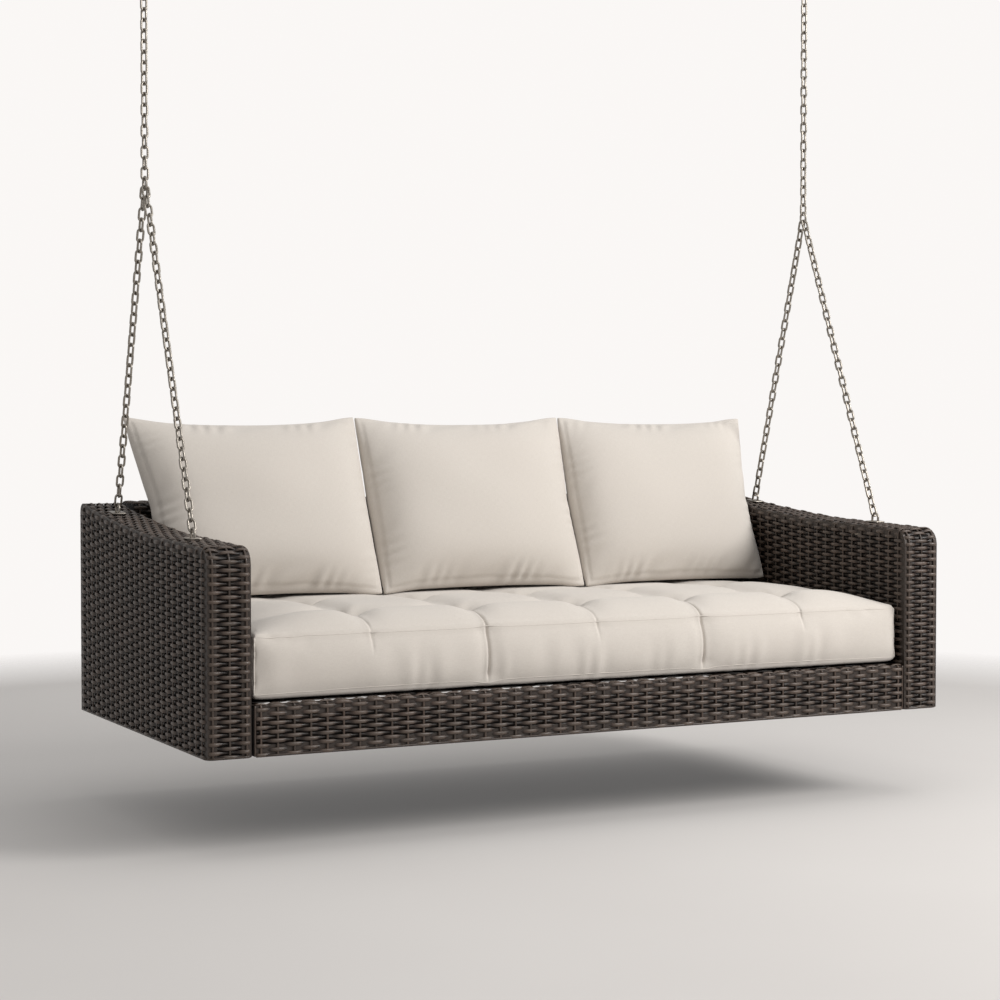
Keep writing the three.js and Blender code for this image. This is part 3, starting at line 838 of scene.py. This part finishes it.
def make_apron():
    half = (apron_high.y - apron_low.y) / 2
    tall = apron_high.z - apron_low.z
    flat = half - APRON_EDGE
    reach = flat + APRON_EDGE * math.pi / 2 + tall - APRON_EDGE
    count = round((reach + flat) / ROW_SPACING)
    step = (reach + flat) / count
    rows = [(-reach + step * (j + 0.5), step) for j in range(count)]
    panel = ((apron_high.y + apron_low.y) / 2, half, APRON_EDGE, apron_high.z)
    wide = apron_high.x - APRON_GAP
    bundle = Bundle()
    panel_rows(bundle, rows, panel, wide, 0)
    bundle.piece("apron_woven", replaced=["apron_cover"])
    stakes = Bundle()
    panel_stakes(stakes, (-reach + FOOT_GAP, flat), panel, wide)
    z = np.linspace(FOOT_GAP, tall - APRON_GAP, 20)
    for side in (-1, 1):
        x, y = side * (apron_high.x - APRON_CORD_INSET[0]), FRONT + APRON_CORD_INSET[1]
        # A crown share of 0.6 gives these cords a little of the paler crown colour: wear and painted
        # highlight.
        stakes.sweep(columns(x, y, FOOT + z), -Y_AXIS, oval(8), APRON_CORD, APRON_CORD, 0.4, 0.6)
    panel_foot(stakes, apron_low.y, -1, apron_high.x - 0.006)
    stakes.piece("apron_stakes")
    # A near-black layer behind the apron's weave: painted shade.
    low = (-apron_high.x, apron_low.y + LINER_DEPTH, FOOT + FOOT_GAP)
    high = (apron_high.x, apron_high.y, apron_high.z - LINER_DEPTH)
    make_shade_layer("apron_inner_layer", *box_mesh(low, high))


def make_deck():
    """The seat's deck of crossed flat straps, under the cushion."""
    low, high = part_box("seat_deck")
    bundle = Bundle()
    middle = (low.z + high.z) / 2
    for along in (0, 1):
        start, end = low[along], high[along]
        t = np.linspace(start, end, int((end - start) / 0.011))
        across = 1 - along
        lines = np.arange(low[across] + STRAP * 0.6, high[across] - STRAP * 0.4, STRAP_PITCH)
        for index, line in enumerate(lines):
            phase = (t - start - STRAP * 0.6) / STRAP_PITCH + index + along
            z = middle + STRAP_RISE * np.cos(math.pi * phase)
            path = columns(line, t, z) if along else columns(t, line, z)
            # A crown share of 0.2 darkens the straps with painted shade.
            bundle.sweep(path, Z_AXIS, oval(6), STRAP, STRAP_THICK, strand_tone(index), 0.2)
    bundle.piece("seat_deck_straps", replaced=["seat_deck"])


# ---- chain and fittings -----------------------------------------------------------------------
def stadium(half, length, steps=12):
    """A link's centreline in its own plane: across and down, from its top at zero."""
    turn = np.linspace(0, math.pi, steps + 1)
    top = np.stack([half * np.cos(turn), half * np.sin(turn) - half], 1)
    straight = length - 2 * half
    bottom = np.stack([-half * np.cos(turn), -half * np.sin(turn) - half - straight], 1)
    return np.vstack([top, bottom])


def add_link(bundle, half, length, wire, place, axes):
    """One closed link. axes are its across, down-to-up and facing directions."""
    across, up, facing = axes
    flat = stadium(half, length)
    path = place + flat[:, :1] * across + flat[:, 1:] * up
    bundle.sweep(path, facing, oval(10), wire, wire, closed=True)


def add_chain(bundle, start, end):
    """Links from start to end, the middles of the outermost wires. Both end links lie across X."""
    run = end - start
    length = np.linalg.norm(run)
    up = -run / length
    count = round((length - WIRE) / LINK_PITCH / 2 - 0.5) * 2 + 1
    pitch = (length - WIRE) / count
    y_axis = np.cross(up, X_AXIS)
    for i in range(count):
        twist = CHAIN_TWIST * math.sin(math.pi * i / (count - 1)) + (i % 2) * math.pi / 2
        across = X_AXIS * math.cos(twist) + y_axis * math.sin(twist)
        axes = (across, up, np.cross(up, across))
        add_link(bundle, LINK_HALF, pitch + WIRE, WIRE, start - up * pitch * i, axes)


def chain_ends(node):
    """Start and end of a chain run, from its CAD solid's box."""
    low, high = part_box(node)
    x, y, _ = centre(low, high)
    leans = 0 if "upper" in node else (-1 if "front" in node else 1)
    half_y = leans * (high.y - low.y - WIRE) / 2
    top = np.array([x, y - half_y, high.z - WIRE / 2])
    bottom = np.array([x, y + half_y, low.z + WIRE / 2])
    return top, bottom


def make_chains():
    for side in ("left", "right"):
        runs = (("upper", f"{side}_hanger"), ("front_leg", "seat"), ("rear_leg", "seat"))
        for run, body in runs:
            node = f"{side}_{run}_chain"
            bundle = Bundle()
            add_chain(bundle, *chain_ends(node))
            bundle.piece(f"{node}_links", "chain_steel", body, [node])


def make_ring(node, body, wire):
    """A closed link in the YZ plane that fills its CAD solid's box."""
    low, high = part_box(node)
    half = (high.y - low.y - wire) / 2
    x, y, _ = centre(low, high)
    place = np.array([x, y, high.z - wire / 2])
    bundle = Bundle()
    add_link(bundle, half, high.z - low.z - wire, wire, place, (Y_AXIS, Z_AXIS, X_AXIS))
    bundle.piece(f"{node}_wire", "chain_steel", body, [node])


def staple_path(half, length, steps=14):
    """A U with its bow at zero: across, up."""
    turn = np.linspace(0, math.pi, steps + 1)
    bow = np.stack([half * np.cos(turn), half * np.sin(turn) - half], 1)
    leg = np.linspace(-length, -half, 5)[:-1]
    return np.vstack([columns(half, leg), bow, columns(-half, leg)[::-1]])


def make_hook(node, body, wire):
    """The closed hook under a ceiling plate: a U in the XZ plane, its bow at the bottom."""
    low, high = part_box(node)
    half = (high.x - low.x - wire) / 2
    across, up = staple_path(half, high.z - low.z - wire / 2).T
    x, y, _ = centre(low, high)
    bundle = Bundle()
    path = columns(x + across, y, low.z + wire / 2 - up)
    bundle.sweep(path, Y_AXIS, oval(12), wire, wire)
    for side in (-1, 1):
        collar = columns(x + side * half, y, np.array([high.z - HOOK_COLLAR, high.z]))
        bundle.sweep(collar, Y_AXIS, oval(12), wire * 1.5, wire * 1.5)
    bundle.piece(f"{node}_wire", "chain_steel", body, [node])


def corner_spots(x, y, radius, steps):
    """Corner centres of a rounded rectangle and the directions round them, from half its sizes."""
    spots = []
    for sx, sy, start in ((1, 1, 0), (-1, 1, 90), (-1, -1, 180), (1, -1, 270)):
        for angle in np.radians(start + np.linspace(0, 90, steps)):
            spots.append((sx * (x - radius), sy * (y - radius), math.cos(angle), math.sin(angle)))
    spots = np.array(spots)
    return spots[:, :2], spots[:, 2:]


def rounded_plate(x, y, corner, low, high, bevel):
    """A rounded rectangle plate as rings of points and quads, centred on zero in x and y."""
    centres, outward = corner_spots(x / 2, y / 2, corner, 6)
    rings = []
    for inset, z in ((bevel, low), (0, low + bevel), (0, high - bevel), (bevel, high)):
        across, along = (centres + outward * (corner - inset)).T
        rings.append(columns(across, along, z))
    count = len(centres)
    caps = [ladder(count)[:, ::-1], ladder(count) + 3 * count]
    return np.vstack(rings), np.vstack([ring_quads(4, count), *caps])


def screw_head(x, y, z, steps=16):
    """A pan head that faces down."""
    radius, height = SCREW_HEAD
    turn = np.linspace(0, math.pi / 2, 6)[:-1]
    angles = np.arange(steps) * 2 * math.pi / steps
    rings = []
    for a in turn:
        r = radius * math.cos(a)
        rings.append(columns(x + r * np.cos(angles), y + r * np.sin(angles), z - height * math.sin(a)))
    cap = ladder(steps)[:, ::-1] + (len(turn) - 1) * steps
    return np.vstack(rings), np.vstack([ring_quads(len(turn), steps)[:, [1, 0, 3, 2]], cap])


def make_ceiling_plate(side):
    node = f"{side}_ceiling_plate"
    low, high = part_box(node)
    x, y, _ = centre(low, high)
    size = (high.x - low.x, high.y - low.y)
    points, faces = rounded_plate(*size, PLATE_CORNER, low.z, high.z, PLATE_BEVEL)
    points = points + [x, y, 0]
    make_piece(f"{node}_steel", points, faces, "chain_steel", "ceiling_mounts", [node])
    heads = [screw_head(x + across, y + along, low.z + SCREW_BITE) for across, along in SCREWS]
    points = np.vstack([head[0] for head in heads])
    faces = np.vstack([head[1] + k * len(head[0]) for k, head in enumerate(heads)])
    make_piece(f"{side}_plate_screws", points, faces, "chain_steel", "ceiling_mounts")


def eye_frame(node):
    """Middle and tilt of an arm eye, from the CAD solid of its foot plate."""
    points = np.array([v.co for v in nodes[node].data.vertices])
    middle = points.mean(0)
    spread = np.linalg.svd(points - middle)[2]
    up = spread[2] * np.sign(spread[2][2])
    return middle, up


def make_eye(plate_node, bolt_node):
    """A U-shaped eye bolt on an arm with its small foot plate."""
    middle, up = eye_frame(plate_node)
    along = np.cross(up, X_AXIS)
    points, faces = rounded_plate(*EYE_PLATE, -EYE_PLATE_HALF, EYE_PLATE_HALF, EYE_PLATE_BEVEL)
    points = points @ np.stack([X_AXIS, along, up]) + middle
    make_piece(f"{plate_node}_steel", points, faces, "chain_steel", "seat", [plate_node])
    flat = staple_path(EYE_HALF, EYE_HEIGHT + EYE_DEPTH)
    top = middle + up * (EYE_HEIGHT - EYE_DROP)
    bundle = Bundle()
    path = top + flat[:, :1] * along + flat[:, 1:] * up
    bundle.sweep(path, X_AXIS, oval(12), EYE_WIRE, EYE_WIRE)
    bundle.piece(f"{bolt_node}_wire", "chain_steel", "seat", [bolt_node])


def make_fittings():
    for side in ("left", "right"):
        make_ceiling_plate(side)
        make_hook(f"{side}_ceiling_hook", "ceiling_mounts", HOOK_WIRE)
        make_ring(f"{side}_top_link", f"{side}_top_link", TOP_LINK_WIRE)
        make_ring(f"{side}_junction_ring", f"{side}_ring", RING_WIRE)
    for side in ("left", "right"):
        for end in ("front", "rear"):
            make_eye(f"{side}_{end}_eye_plate", f"{side}_{end}_eye_bolt")


# ---- cushions -----------------------------------------------------------------------------------
def box_grid(xs, ys, zs):
    """The surface of a box cut at the given places: points, quads facing out, and grid indices."""
    cells = [len(v) - 1 for v in (xs, ys, zs)]
    quads = []
    for axis in range(3):
        a, b = [k for k in range(3) if k != axis]
        i, j = np.meshgrid(np.arange(cells[a]), np.arange(cells[b]), indexing="ij")
        for end in (0, cells[axis]):
            corners = []
            for di, dj in ((0, 0), (1, 0), (1, 1), (0, 1)):
                spot = np.zeros((*i.shape, 3), int)
                spot[..., axis] = end
                spot[..., a] = i + di
                spot[..., b] = j + dj
                corners.append(spot)
            faces_out = (end > 0) == (axis != 1)
            quads.append(np.stack(corners if faces_out else corners[::-1], -2).reshape(-1, 4, 3))
    quads = np.concatenate(quads)
    index, inverse = np.unique(quads.reshape(-1, 3), axis=0, return_inverse=True)
    points = np.column_stack([np.asarray(v)[index[:, k]] for k, v in enumerate((xs, ys, zs))])
    return points, inverse.reshape(-1, 4), index


def inflate(made, held, pressure, stiffness, bending):
    """Fills a closed mesh with Blender's Cloth under pressure and keeps the shape that it takes."""
    before = read_vectors(made.data.vertices, "co")
    if len(held):
        group = made.vertex_groups.new(name="held")
        group.add([int(i) for i in held], 1.0, "ADD")
    modifier = made.modifiers.new("filling", "CLOTH")
    cloth = modifier.settings
    cloth.quality = 5
    cloth.mass = 0.25
    cloth.tension_stiffness = stiffness
    cloth.compression_stiffness = stiffness
    cloth.shear_stiffness = stiffness * 0.4
    cloth.bending_stiffness = bending
    cloth.use_pressure = True
    cloth.uniform_pressure_force = pressure
    cloth.effector_weights.gravity = 0
    if len(held):
        cloth.vertex_group_mass = "held"
    modifier.point_cache.frame_start = 1
    modifier.point_cache.frame_end = FILL_FRAMES
    for number in range(1, FILL_FRAMES + 1):
        scene.frame_set(number)
    shown = made.evaluated_get(bpy.context.evaluated_depsgraph_get())
    move = read_vectors(shown.data.vertices, "co") - before
    size = np.linalg.norm(move, axis=1, keepdims=True)
    made.modifiers.remove(modifier)
    made.vertex_groups.clear()
    scene.frame_set(1)
    return before + move * np.minimum(1, FILL_CAP / np.maximum(size, 1e-9))


def with_extra_lines(start, end, step, lines, offsets):
    """Evenly spaced places with a few close ones added beside each seam line."""
    even = np.linspace(start, end, int(round((end - start) / step)) + 1)
    close = np.array([line + o for line in lines for o in offsets])
    close = close[(close > start + 0.002) & (close < end - 0.002)]
    clear = [v for v in even if not len(close) or np.abs(close - v).min() > 0.004 or v in (start, end)]
    return np.array(sorted(set(np.round(np.concatenate([clear, close]), 6))))


def bell(distance, width):
    return np.exp(-((distance / width) ** 2))


def smooth_and_shape(made, shape):
    """Adds one subdivision, then moves the finer points with shape(points, normals, rest)."""
    modifier = made.modifiers.new("finer", "SUBSURF")
    modifier.levels = modifier.render_levels = 1
    shown = made.evaluated_get(bpy.context.evaluated_depsgraph_get())
    finer = bpy.data.meshes.new_from_object(shown)
    made.modifiers.remove(modifier)
    made.data = finer
    points = read_vectors(finer.vertices, "co")
    normals = read_vectors(finer.vertices, "normal")
    rest = read_vectors(finer.attributes["rest"].data, "vector")
    finer.shade_smooth()
    move_points(finer, shape(points, normals, rest))


def cushion_form(cut, half):
    """Lays the flat cut of the cushion's cover over a box with rounded edges."""
    across_x, _, _, level_x = rounded_end(cut[:, 0], half[0], CUSHION_ROUND)
    across_y, _, _, level_y = rounded_end(cut[:, 1], half[1], CUSHION_ROUND)
    flat_end = np.abs(cut[:, 2]) > half[2] - CUSHION_ROUND - 1e-6
    rise = CUSHION_ROUND * level_x * level_y * flat_end * np.sign(cut[:, 2])
    return np.column_stack([across_x, across_y, cut[:, 2] + rise])


def slope(distance, run):
    """How far a filled top has risen at a distance from its seam: 0 at the seam, 1 beyond the run."""
    return np.sin(np.clip(distance / run, 0, 1) * math.pi / 2)


def tuft_away(x, y, tuft_y):
    """Distance to the nearest tuft."""
    gaps = [np.hypot((x - tx) / 1.2, y - ty) for tx in SEAM_X for ty in tuft_y]
    return np.min(gaps, axis=0)


def cushion_top(x, y, half, tuft_y):
    """Height of the filled and tufted top above the top seam."""
    rear = np.clip((y - REAR_START) / REAR_RUN, 0, 1)
    full = DOME - (DOME - DOME_REAR) * rear
    edge = slope(half[0] - np.abs(x), DOME_RUN[0])
    front, back = slope(y + half[1], DOME_RUN[1]), slope(half[1] - y, DOME_RUN[2])
    seams = sum(bell(x - line, SEAM_VALLEY[1]) for line in SEAM_X) * SEAM_VALLEY[0]
    seams = seams * (1 - REAR_FILL * rear)
    crosses = sum(bell(y - ty, CROSS_VALLEY[1]) for ty in tuft_y) * CROSS_VALLEY[0]
    pits = TUFT_PIT[0] * bell(tuft_away(x, y, tuft_y), TUFT_PIT[1])
    return full * edge * front * back - (np.maximum(seams, crosses) + pits) * front * back * edge**0.5


def front_creases(x, y, z, half, tuft_y, top):
    """Depth of the sewn channels down the front, with the ridge beside each one."""
    in_front = np.clip((tuft_y[0] - y + 0.012) / 0.024, 0, 1) * np.clip((z + half[2] - 0.010) / 0.02, 0, 1)
    sink = np.zeros(len(x))
    for line in SEAM_X:
        strong = line in STRONG_SEAMS
        share = 1.0 if strong else WEAK_SEAM
        fade = 1.0 if strong else np.clip((z - half[2] + 0.055) / 0.045, 0, 1)
        crease = FRONT_CREASE[0] * bell(x - line, FRONT_CREASE[1])
        crease = crease + FRONT_CHANNEL[0] * bell(x - line, FRONT_CHANNEL[1]) * (1 - top)
        ridge = CREASE_RIDGE[0] * bell(x - line + CREASE_TO_RIDGE, CREASE_RIDGE[1])
        sink += in_front * fade * share * (crease - ridge)
    return sink


def finish_cushion(p, n, rest, half, tuft_y):
    """Settles the filled cushion to its sewn shape, with its seams, folds and tucks."""
    x, y, z = rest.T
    top = np.clip((z - half[2] + CUSHION_ROUND) / CUSHION_ROUND, 0, 1)
    blown = p.copy()
    blown[:, 2] += top * SETTLE * (half[2] + cushion_top(x, y, half, tuft_y) - p[:, 2])
    sink = front_creases(x, y, z, half, tuft_y, top)
    boxing = bell(y + half[1], 0.03) * (np.abs(x) < half[0])
    low_part = bell(z + half[2] - 0.040, 0.040)
    near = sum(bell(x - line, 0.12) for line in FOLD_PLACES)
    folds = FOLD_DEPTH * boxing * low_part * near * np.sin(x * 96 + 3.1 * np.sin(x * 29 + 1))
    pulls = PULL_DEPTH * boxing * np.sin(x * 47 + 2.6 * np.sin(x * 17 + 2)) * bell(z + 0.01, 0.05)
    tucks = np.zeros(len(p))
    for tx in SEAM_X:
        for ty in tuft_y:
            away = np.hypot(x - tx, y - ty)
            angle = np.arctan2(y - ty, x - tx)
            tucks += TUCK_DEPTH * bell(away - 0.044, 0.030) * np.cos(6 * angle + tx * 19 + ty * 31)
    return blown + n * (folds + pulls + tucks * top - sink)[:, None]


def make_seat_cushion():
    low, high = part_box("seat_cushion")
    middle = centre(low, high)
    half = (np.array(high) - np.array(low)) / 2 - [0.006, 0.006, 0.002]
    rim = half[:2] + CUSHION_ROUND * (math.pi / 2 - 1)
    tuft_y = [FRONT + row - middle[1] for row in TUFT_ROWS]
    side = half[2] - CUSHION_ROUND
    ends, edges = ([sign * (reach - RIM_INSET) for sign in (-1, 1)] for reach in rim)
    xs = with_extra_lines(-rim[0], rim[0], CUSHION_STEP, (*SEAM_X, *ends), SEAM_OFFSETS)
    ys = with_extra_lines(-rim[1], rim[1], CUSHION_STEP, (*tuft_y, *edges), SEAM_OFFSETS)
    zs = with_extra_lines(-side, side, CUSHION_STEP, (), (0.0,))
    cut, quads, index = box_grid(xs, ys, zs)
    rest = cushion_form(cut, half)
    on_top = cut[:, 2] > side - 1e-4
    points = rest.copy()
    points[:, 2] += on_top * cushion_top(rest[:, 0], rest[:, 1], half, tuft_y)
    pinned = (tuft_away(rest[:, 0], rest[:, 1], tuft_y) < TUFT_PIN) & on_top
    held = np.where(pinned | (cut[:, 2] < -side + 1e-4))[0]
    on_end = np.abs(cut[:, 0]) > rim[0] - 1e-4
    on_front = np.abs(cut[:, 1]) > rim[1] - 1e-4
    across = np.where(on_end, cut[:, 1], cut[:, 0])
    along = np.where(on_end | on_front, cut[:, 2], cut[:, 1])
    layers = {"cloth": np.column_stack([across, along, index[:, 2]]), "rest": rest}
    made = make_piece(
        "tufted_seat_cushion", points, quads, "cushion_fabric", "seat_cushion", ["seat_cushion"], layers
    )
    move_points(made.data, inflate(made, held, 4.0, 18.0, 0.4))
    smooth_and_shape(made, lambda p, n, at: finish_cushion(p, n, at, half, tuft_y) + middle)
    pipe_cushion(made, half, middle)


def pipe_cushion(made, half, middle):
    """Cords along the cushion's two seams and down its four corners."""
    cords = Bundle()
    loop = plan_loop(half[:2] + 0.02, 0.03, 520)
    for level in (-half[2] + 0.009, half[2] - 0.001):
        stitch(cords, made, columns(*loop.T, level) + middle, PIPING, True)
    z = np.linspace(-half[2] + 0.012, half[2] - 0.008, 24)
    for sx in (-1, 1):
        for sy in (-1, 1):
            path = columns(sx * half[0], sy * half[1], z) + middle
            stitch(cords, made, path, CORNER_PIPING, False)
    piece = cords.piece("seat_cushion_piping", "cushion_fabric", "seat_cushion")
    layer = piece.data.attributes.new("cloth", "FLOAT_VECTOR", "POINT")
    layer.data.foreach_set("vector", floats(read_vectors(piece.data.vertices, "co")))


def plan_loop(half, radius, count):
    """Evenly spaced places round a rounded rectangle."""
    centres, outward = corner_spots(half[0], half[1], radius, 7)
    corners = centres + radius * outward
    corners = np.vstack([corners, corners[:1]])
    run = travel(corners)
    at = np.linspace(0, run[-1], count + 1)[:-1]
    return np.column_stack([np.interp(at, run, corners[:, 0]), np.interp(at, run, corners[:, 1])])


def stitch(bundle, made, path, radius, closed):
    """Lays a thin cord along a path, on the nearest surface of a cushion."""
    mesh = made.data
    tree = BVHTree.FromPolygons([v.co for v in mesh.vertices], [tuple(f.vertices) for f in mesh.polygons])
    hits = [tree.find_nearest(Vector(p)) for p in path]
    normals = np.array([hit[1] for hit in hits])
    laid = np.array([hit[0] for hit in hits])
    if closed:
        laid = (laid + np.roll(laid, 1, 0) + np.roll(laid, -1, 0)) / 3
    laid = laid - normals * radius * 0.25
    bundle.sweep(laid, normals, oval(8), radius * 2, radius * 2, closed=closed)


def pillow_form(cut, random):
    """A filled knife-edged cover: its edges drawn in between the corners, its middle full."""
    u, v = cut[:, 0] * 2 / PILLOW_SIZE[0], cut[:, 2] * 2 / PILLOW_SIZE[2]
    corner = 1 - CORNER_DRAW * (u * v) ** 8
    x = cut[:, 0] * (1 - SIDE_DRAW * (1 - v**2)) * corner
    z = cut[:, 2] * (1 - TOP_DRAW * (1 - u**2) * (v > 0) - FOOT_DRAW * (1 - u**2) * (v < 0)) * corner
    full = np.clip(1 - u**2, 0, 1) * np.clip(1 - v**2, 0, 1)
    puff = (PILLOW_SIZE[1] / 2 - 0.006) * full**0.42
    for a, b, c in random.uniform(-1, 1, (LUMPS, 3)):
        puff += LUMP_HEIGHT * (1 - u**2) * (1 - v**2) * np.sin(8 * a * u + 8 * b * v + 6 * c)
    return np.column_stack([x, cut[:, 1] * (HEM + puff), z])


def calm(made, points, weight):
    """Draws each point toward the middle of its neighbours, as far as its weight allows."""
    edges = np.zeros(len(made.data.edges) * 2, np.int32)
    made.data.edges.foreach_get("vertices", edges)
    first, second = edges.reshape(-1, 2).T
    count = np.bincount(first, minlength=len(points)) + np.bincount(second, minlength=len(points))
    for _ in range(CALM_ROUNDS):
        total = np.zeros_like(points)
        np.add.at(total, first, points[second])
        np.add.at(total, second, points[first])
        points = points + 0.5 * weight[:, None] * (total / count[:, None] - points)
    return points


def pillow_lines(length):
    ends = [side * (length / 2 - inset) for side in (-1, 1) for inset in RIM_LINES]
    return with_extra_lines(-length / 2, length / 2, PILLOW_STEP, ends, (0.0,))


def fit_pillow(filled, cut):
    """Brings a filled pillow to its size and straightens its left and right sides."""
    filled = (filled - (filled.max(0) + filled.min(0)) / 2) * (PILLOW_SIZE / np.ptp(filled, axis=0))
    rows, row = np.unique(cut[:, 2], return_inverse=True)
    reach = np.array([np.abs(filled[row == k, 0]).max() for k in range(len(rows))])
    filled[:, 0] *= (PILLOW_SIZE[0] / 2 / reach[row]) ** SIDE_FILL
    return filled


def finish_pillow(p, n, rest, place, phase):
    """Adds the gathers along the seams, the slump, and the way that this pillow stands."""
    u, face, v = rest[:, 0] * 2 / PILLOW_SIZE[0], rest[:, 1], rest[:, 2] * 2 / PILLOW_SIZE[2]
    gathers = np.zeros(len(p))
    for k, (along, across) in enumerate(((u, v), (-u, -v), (v, u), (-v, -u))):
        from_rim = 1 - across
        reach = bell(from_rim - 0.08, 0.12) * np.clip(from_rim / 0.04, 0, 1)
        ripples = np.sin(along * 34 + 3.4 * np.sin(along * 8 + phase[k]) + 14 * from_rim + phase[k])
        patches = 0.30 + 0.70 * np.sin(along * 3.1 + phase[k] * 2) ** 2
        gathers += GATHER_DEPTHS[k] * reach * ripples * patches * (1 - along**4)
    edge = 1 - np.maximum(np.abs(u), np.abs(v))
    gathers -= RIM_GROOVE[0] * bell(edge - 0.034, RIM_GROOVE[1])
    x, y, z = (p + n * (gathers * np.clip(np.abs(face), 0, 1))[:, None]).T
    slump = 1 + SLUMP * np.clip(-z / PILLOW_SIZE[2], -0.5, 0.5)
    height = np.clip(v, 0, 1)
    left, right = (low + (top - low) * height for low, top in zip(*PILLOW_REACH[place]))
    return np.column_stack([x + left * (1 - u) / 2 + right * (1 + u) / 2, y * slump, z])


def make_pillow(place, number):
    node = f"back_pillow_{place}"
    low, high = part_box(node)
    middle = centre(low, high)
    cut, quads, _ = box_grid(pillow_lines(PILLOW_SIZE[0]), (-1.0, 1.0), pillow_lines(PILLOW_SIZE[2]))
    random = np.random.RandomState(41 + number)
    filled = pillow_form(cut, random)
    layers = {"cloth": cut[:, [0, 2, 1]], "rest": cut}
    body = f"pillow_{place}"
    made = make_piece(body, filled, quads, "cushion_fabric", body, [node], layers)
    rim = 1 - np.abs(cut[:, [0, 2]] * 2 / PILLOW_SIZE[[0, 2]]).max(1)
    filled = calm(made, inflate(made, [], 2.4, 20.0, 1.2), np.clip(rim / 0.12, 0, 1))
    move_points(made.data, fit_pillow(filled, cut))
    lean = np.array(Matrix.Rotation(-PILLOW_LEAN, 3, "X"))
    phase = random.uniform(0, 6.28, 6)
    smooth_and_shape(made, lambda p, n, at: finish_pillow(p, n, at, place, phase) @ lean.T + middle)


# ---- the rest -----------------------------------------------------------------------------------
def dress_cad_nodes():
    """Gives each CAD node that still shows its slot's material."""
    slots = {part["node"]: part["material_slot"] for part in frame["record"]["subparts"]}
    for name, node in nodes.items():
        for holder in node.material_slots:
            holder.material = MATERIALS[slots[name]]


def add_area(name, place, size, power, colour):
    data = bpy.data.lights.new(name, "AREA")
    data.shape = "DISK"
    data.size = size
    data.energy = power
    data.color = colour
    lamp = bpy.data.objects.new(name, data)
    lamp.location = place
    target = Vector((0, 0, FOOT + 0.3))
    lamp.rotation_euler = (target - Vector(place)).to_track_quat("-Z", "Y").to_euler()
    scene.collection.objects.link(lamp)


def add_floor():
    angles = np.arange(FLOOR_SIDES) * 2 * math.pi / FLOOR_SIDES
    rim = columns(np.cos(angles), np.sin(angles), 0.0) * FLOOR_RADIUS
    mesh = bpy.data.meshes.new("floor")
    mesh.from_pydata(rim.tolist(), [], [list(range(FLOOR_SIDES))])
    mesh.materials.append(floor_material())
    floor = bpy.data.objects.new("floor", mesh)
    floor.location = (0, 0, FOOT - FLOOR_BELOW_SEAT)
    scene.collection.objects.link(floor)


def add_world():
    """A soft even light, with a paler wall where the camera sees past everything."""
    world = bpy.data.worlds.new("studio")
    world.use_nodes = True
    tree = world.node_tree
    glow = tree.nodes["Background"]
    glow.inputs["Color"].default_value = rgb(250, 248, 246)
    glow.inputs["Strength"].default_value = AMBIENT
    wall = tree.nodes.new("ShaderNodeBackground")
    wall.inputs["Color"].default_value = rgb(250, 247, 245)
    chooser = tree.nodes.new("ShaderNodeMixShader")
    seen = tree.nodes.new("ShaderNodeLightPath").outputs["Is Camera Ray"]
    sources = (seen, glow.outputs[0], wall.outputs[0])
    for source, socket in zip(sources, chooser.inputs):
        tree.links.new(source, socket)
    tree.links.new(chooser.outputs[0], tree.nodes["World Output"].inputs["Surface"])
    scene.world = world


def add_stage():
    add_floor()
    add_world()
    add_area("key", (3.3, -3.6, 1.0), 2.6, 252, (1, 0.985, 0.97))
    add_area("top", (0.9, -0.9, 3.4), 5.0, 76, (1, 0.99, 0.985))
    scene.view_settings.view_transform = "Standard"


add_camera()
add_stage()
dress_cad_nodes()
make_arms()
make_back()
make_apron()
make_deck()
make_chains()
make_fittings()
make_seat_cushion()
for spot, order in (("left", -1), ("middle", 0), ("right", 1)):
    make_pillow(spot, order)
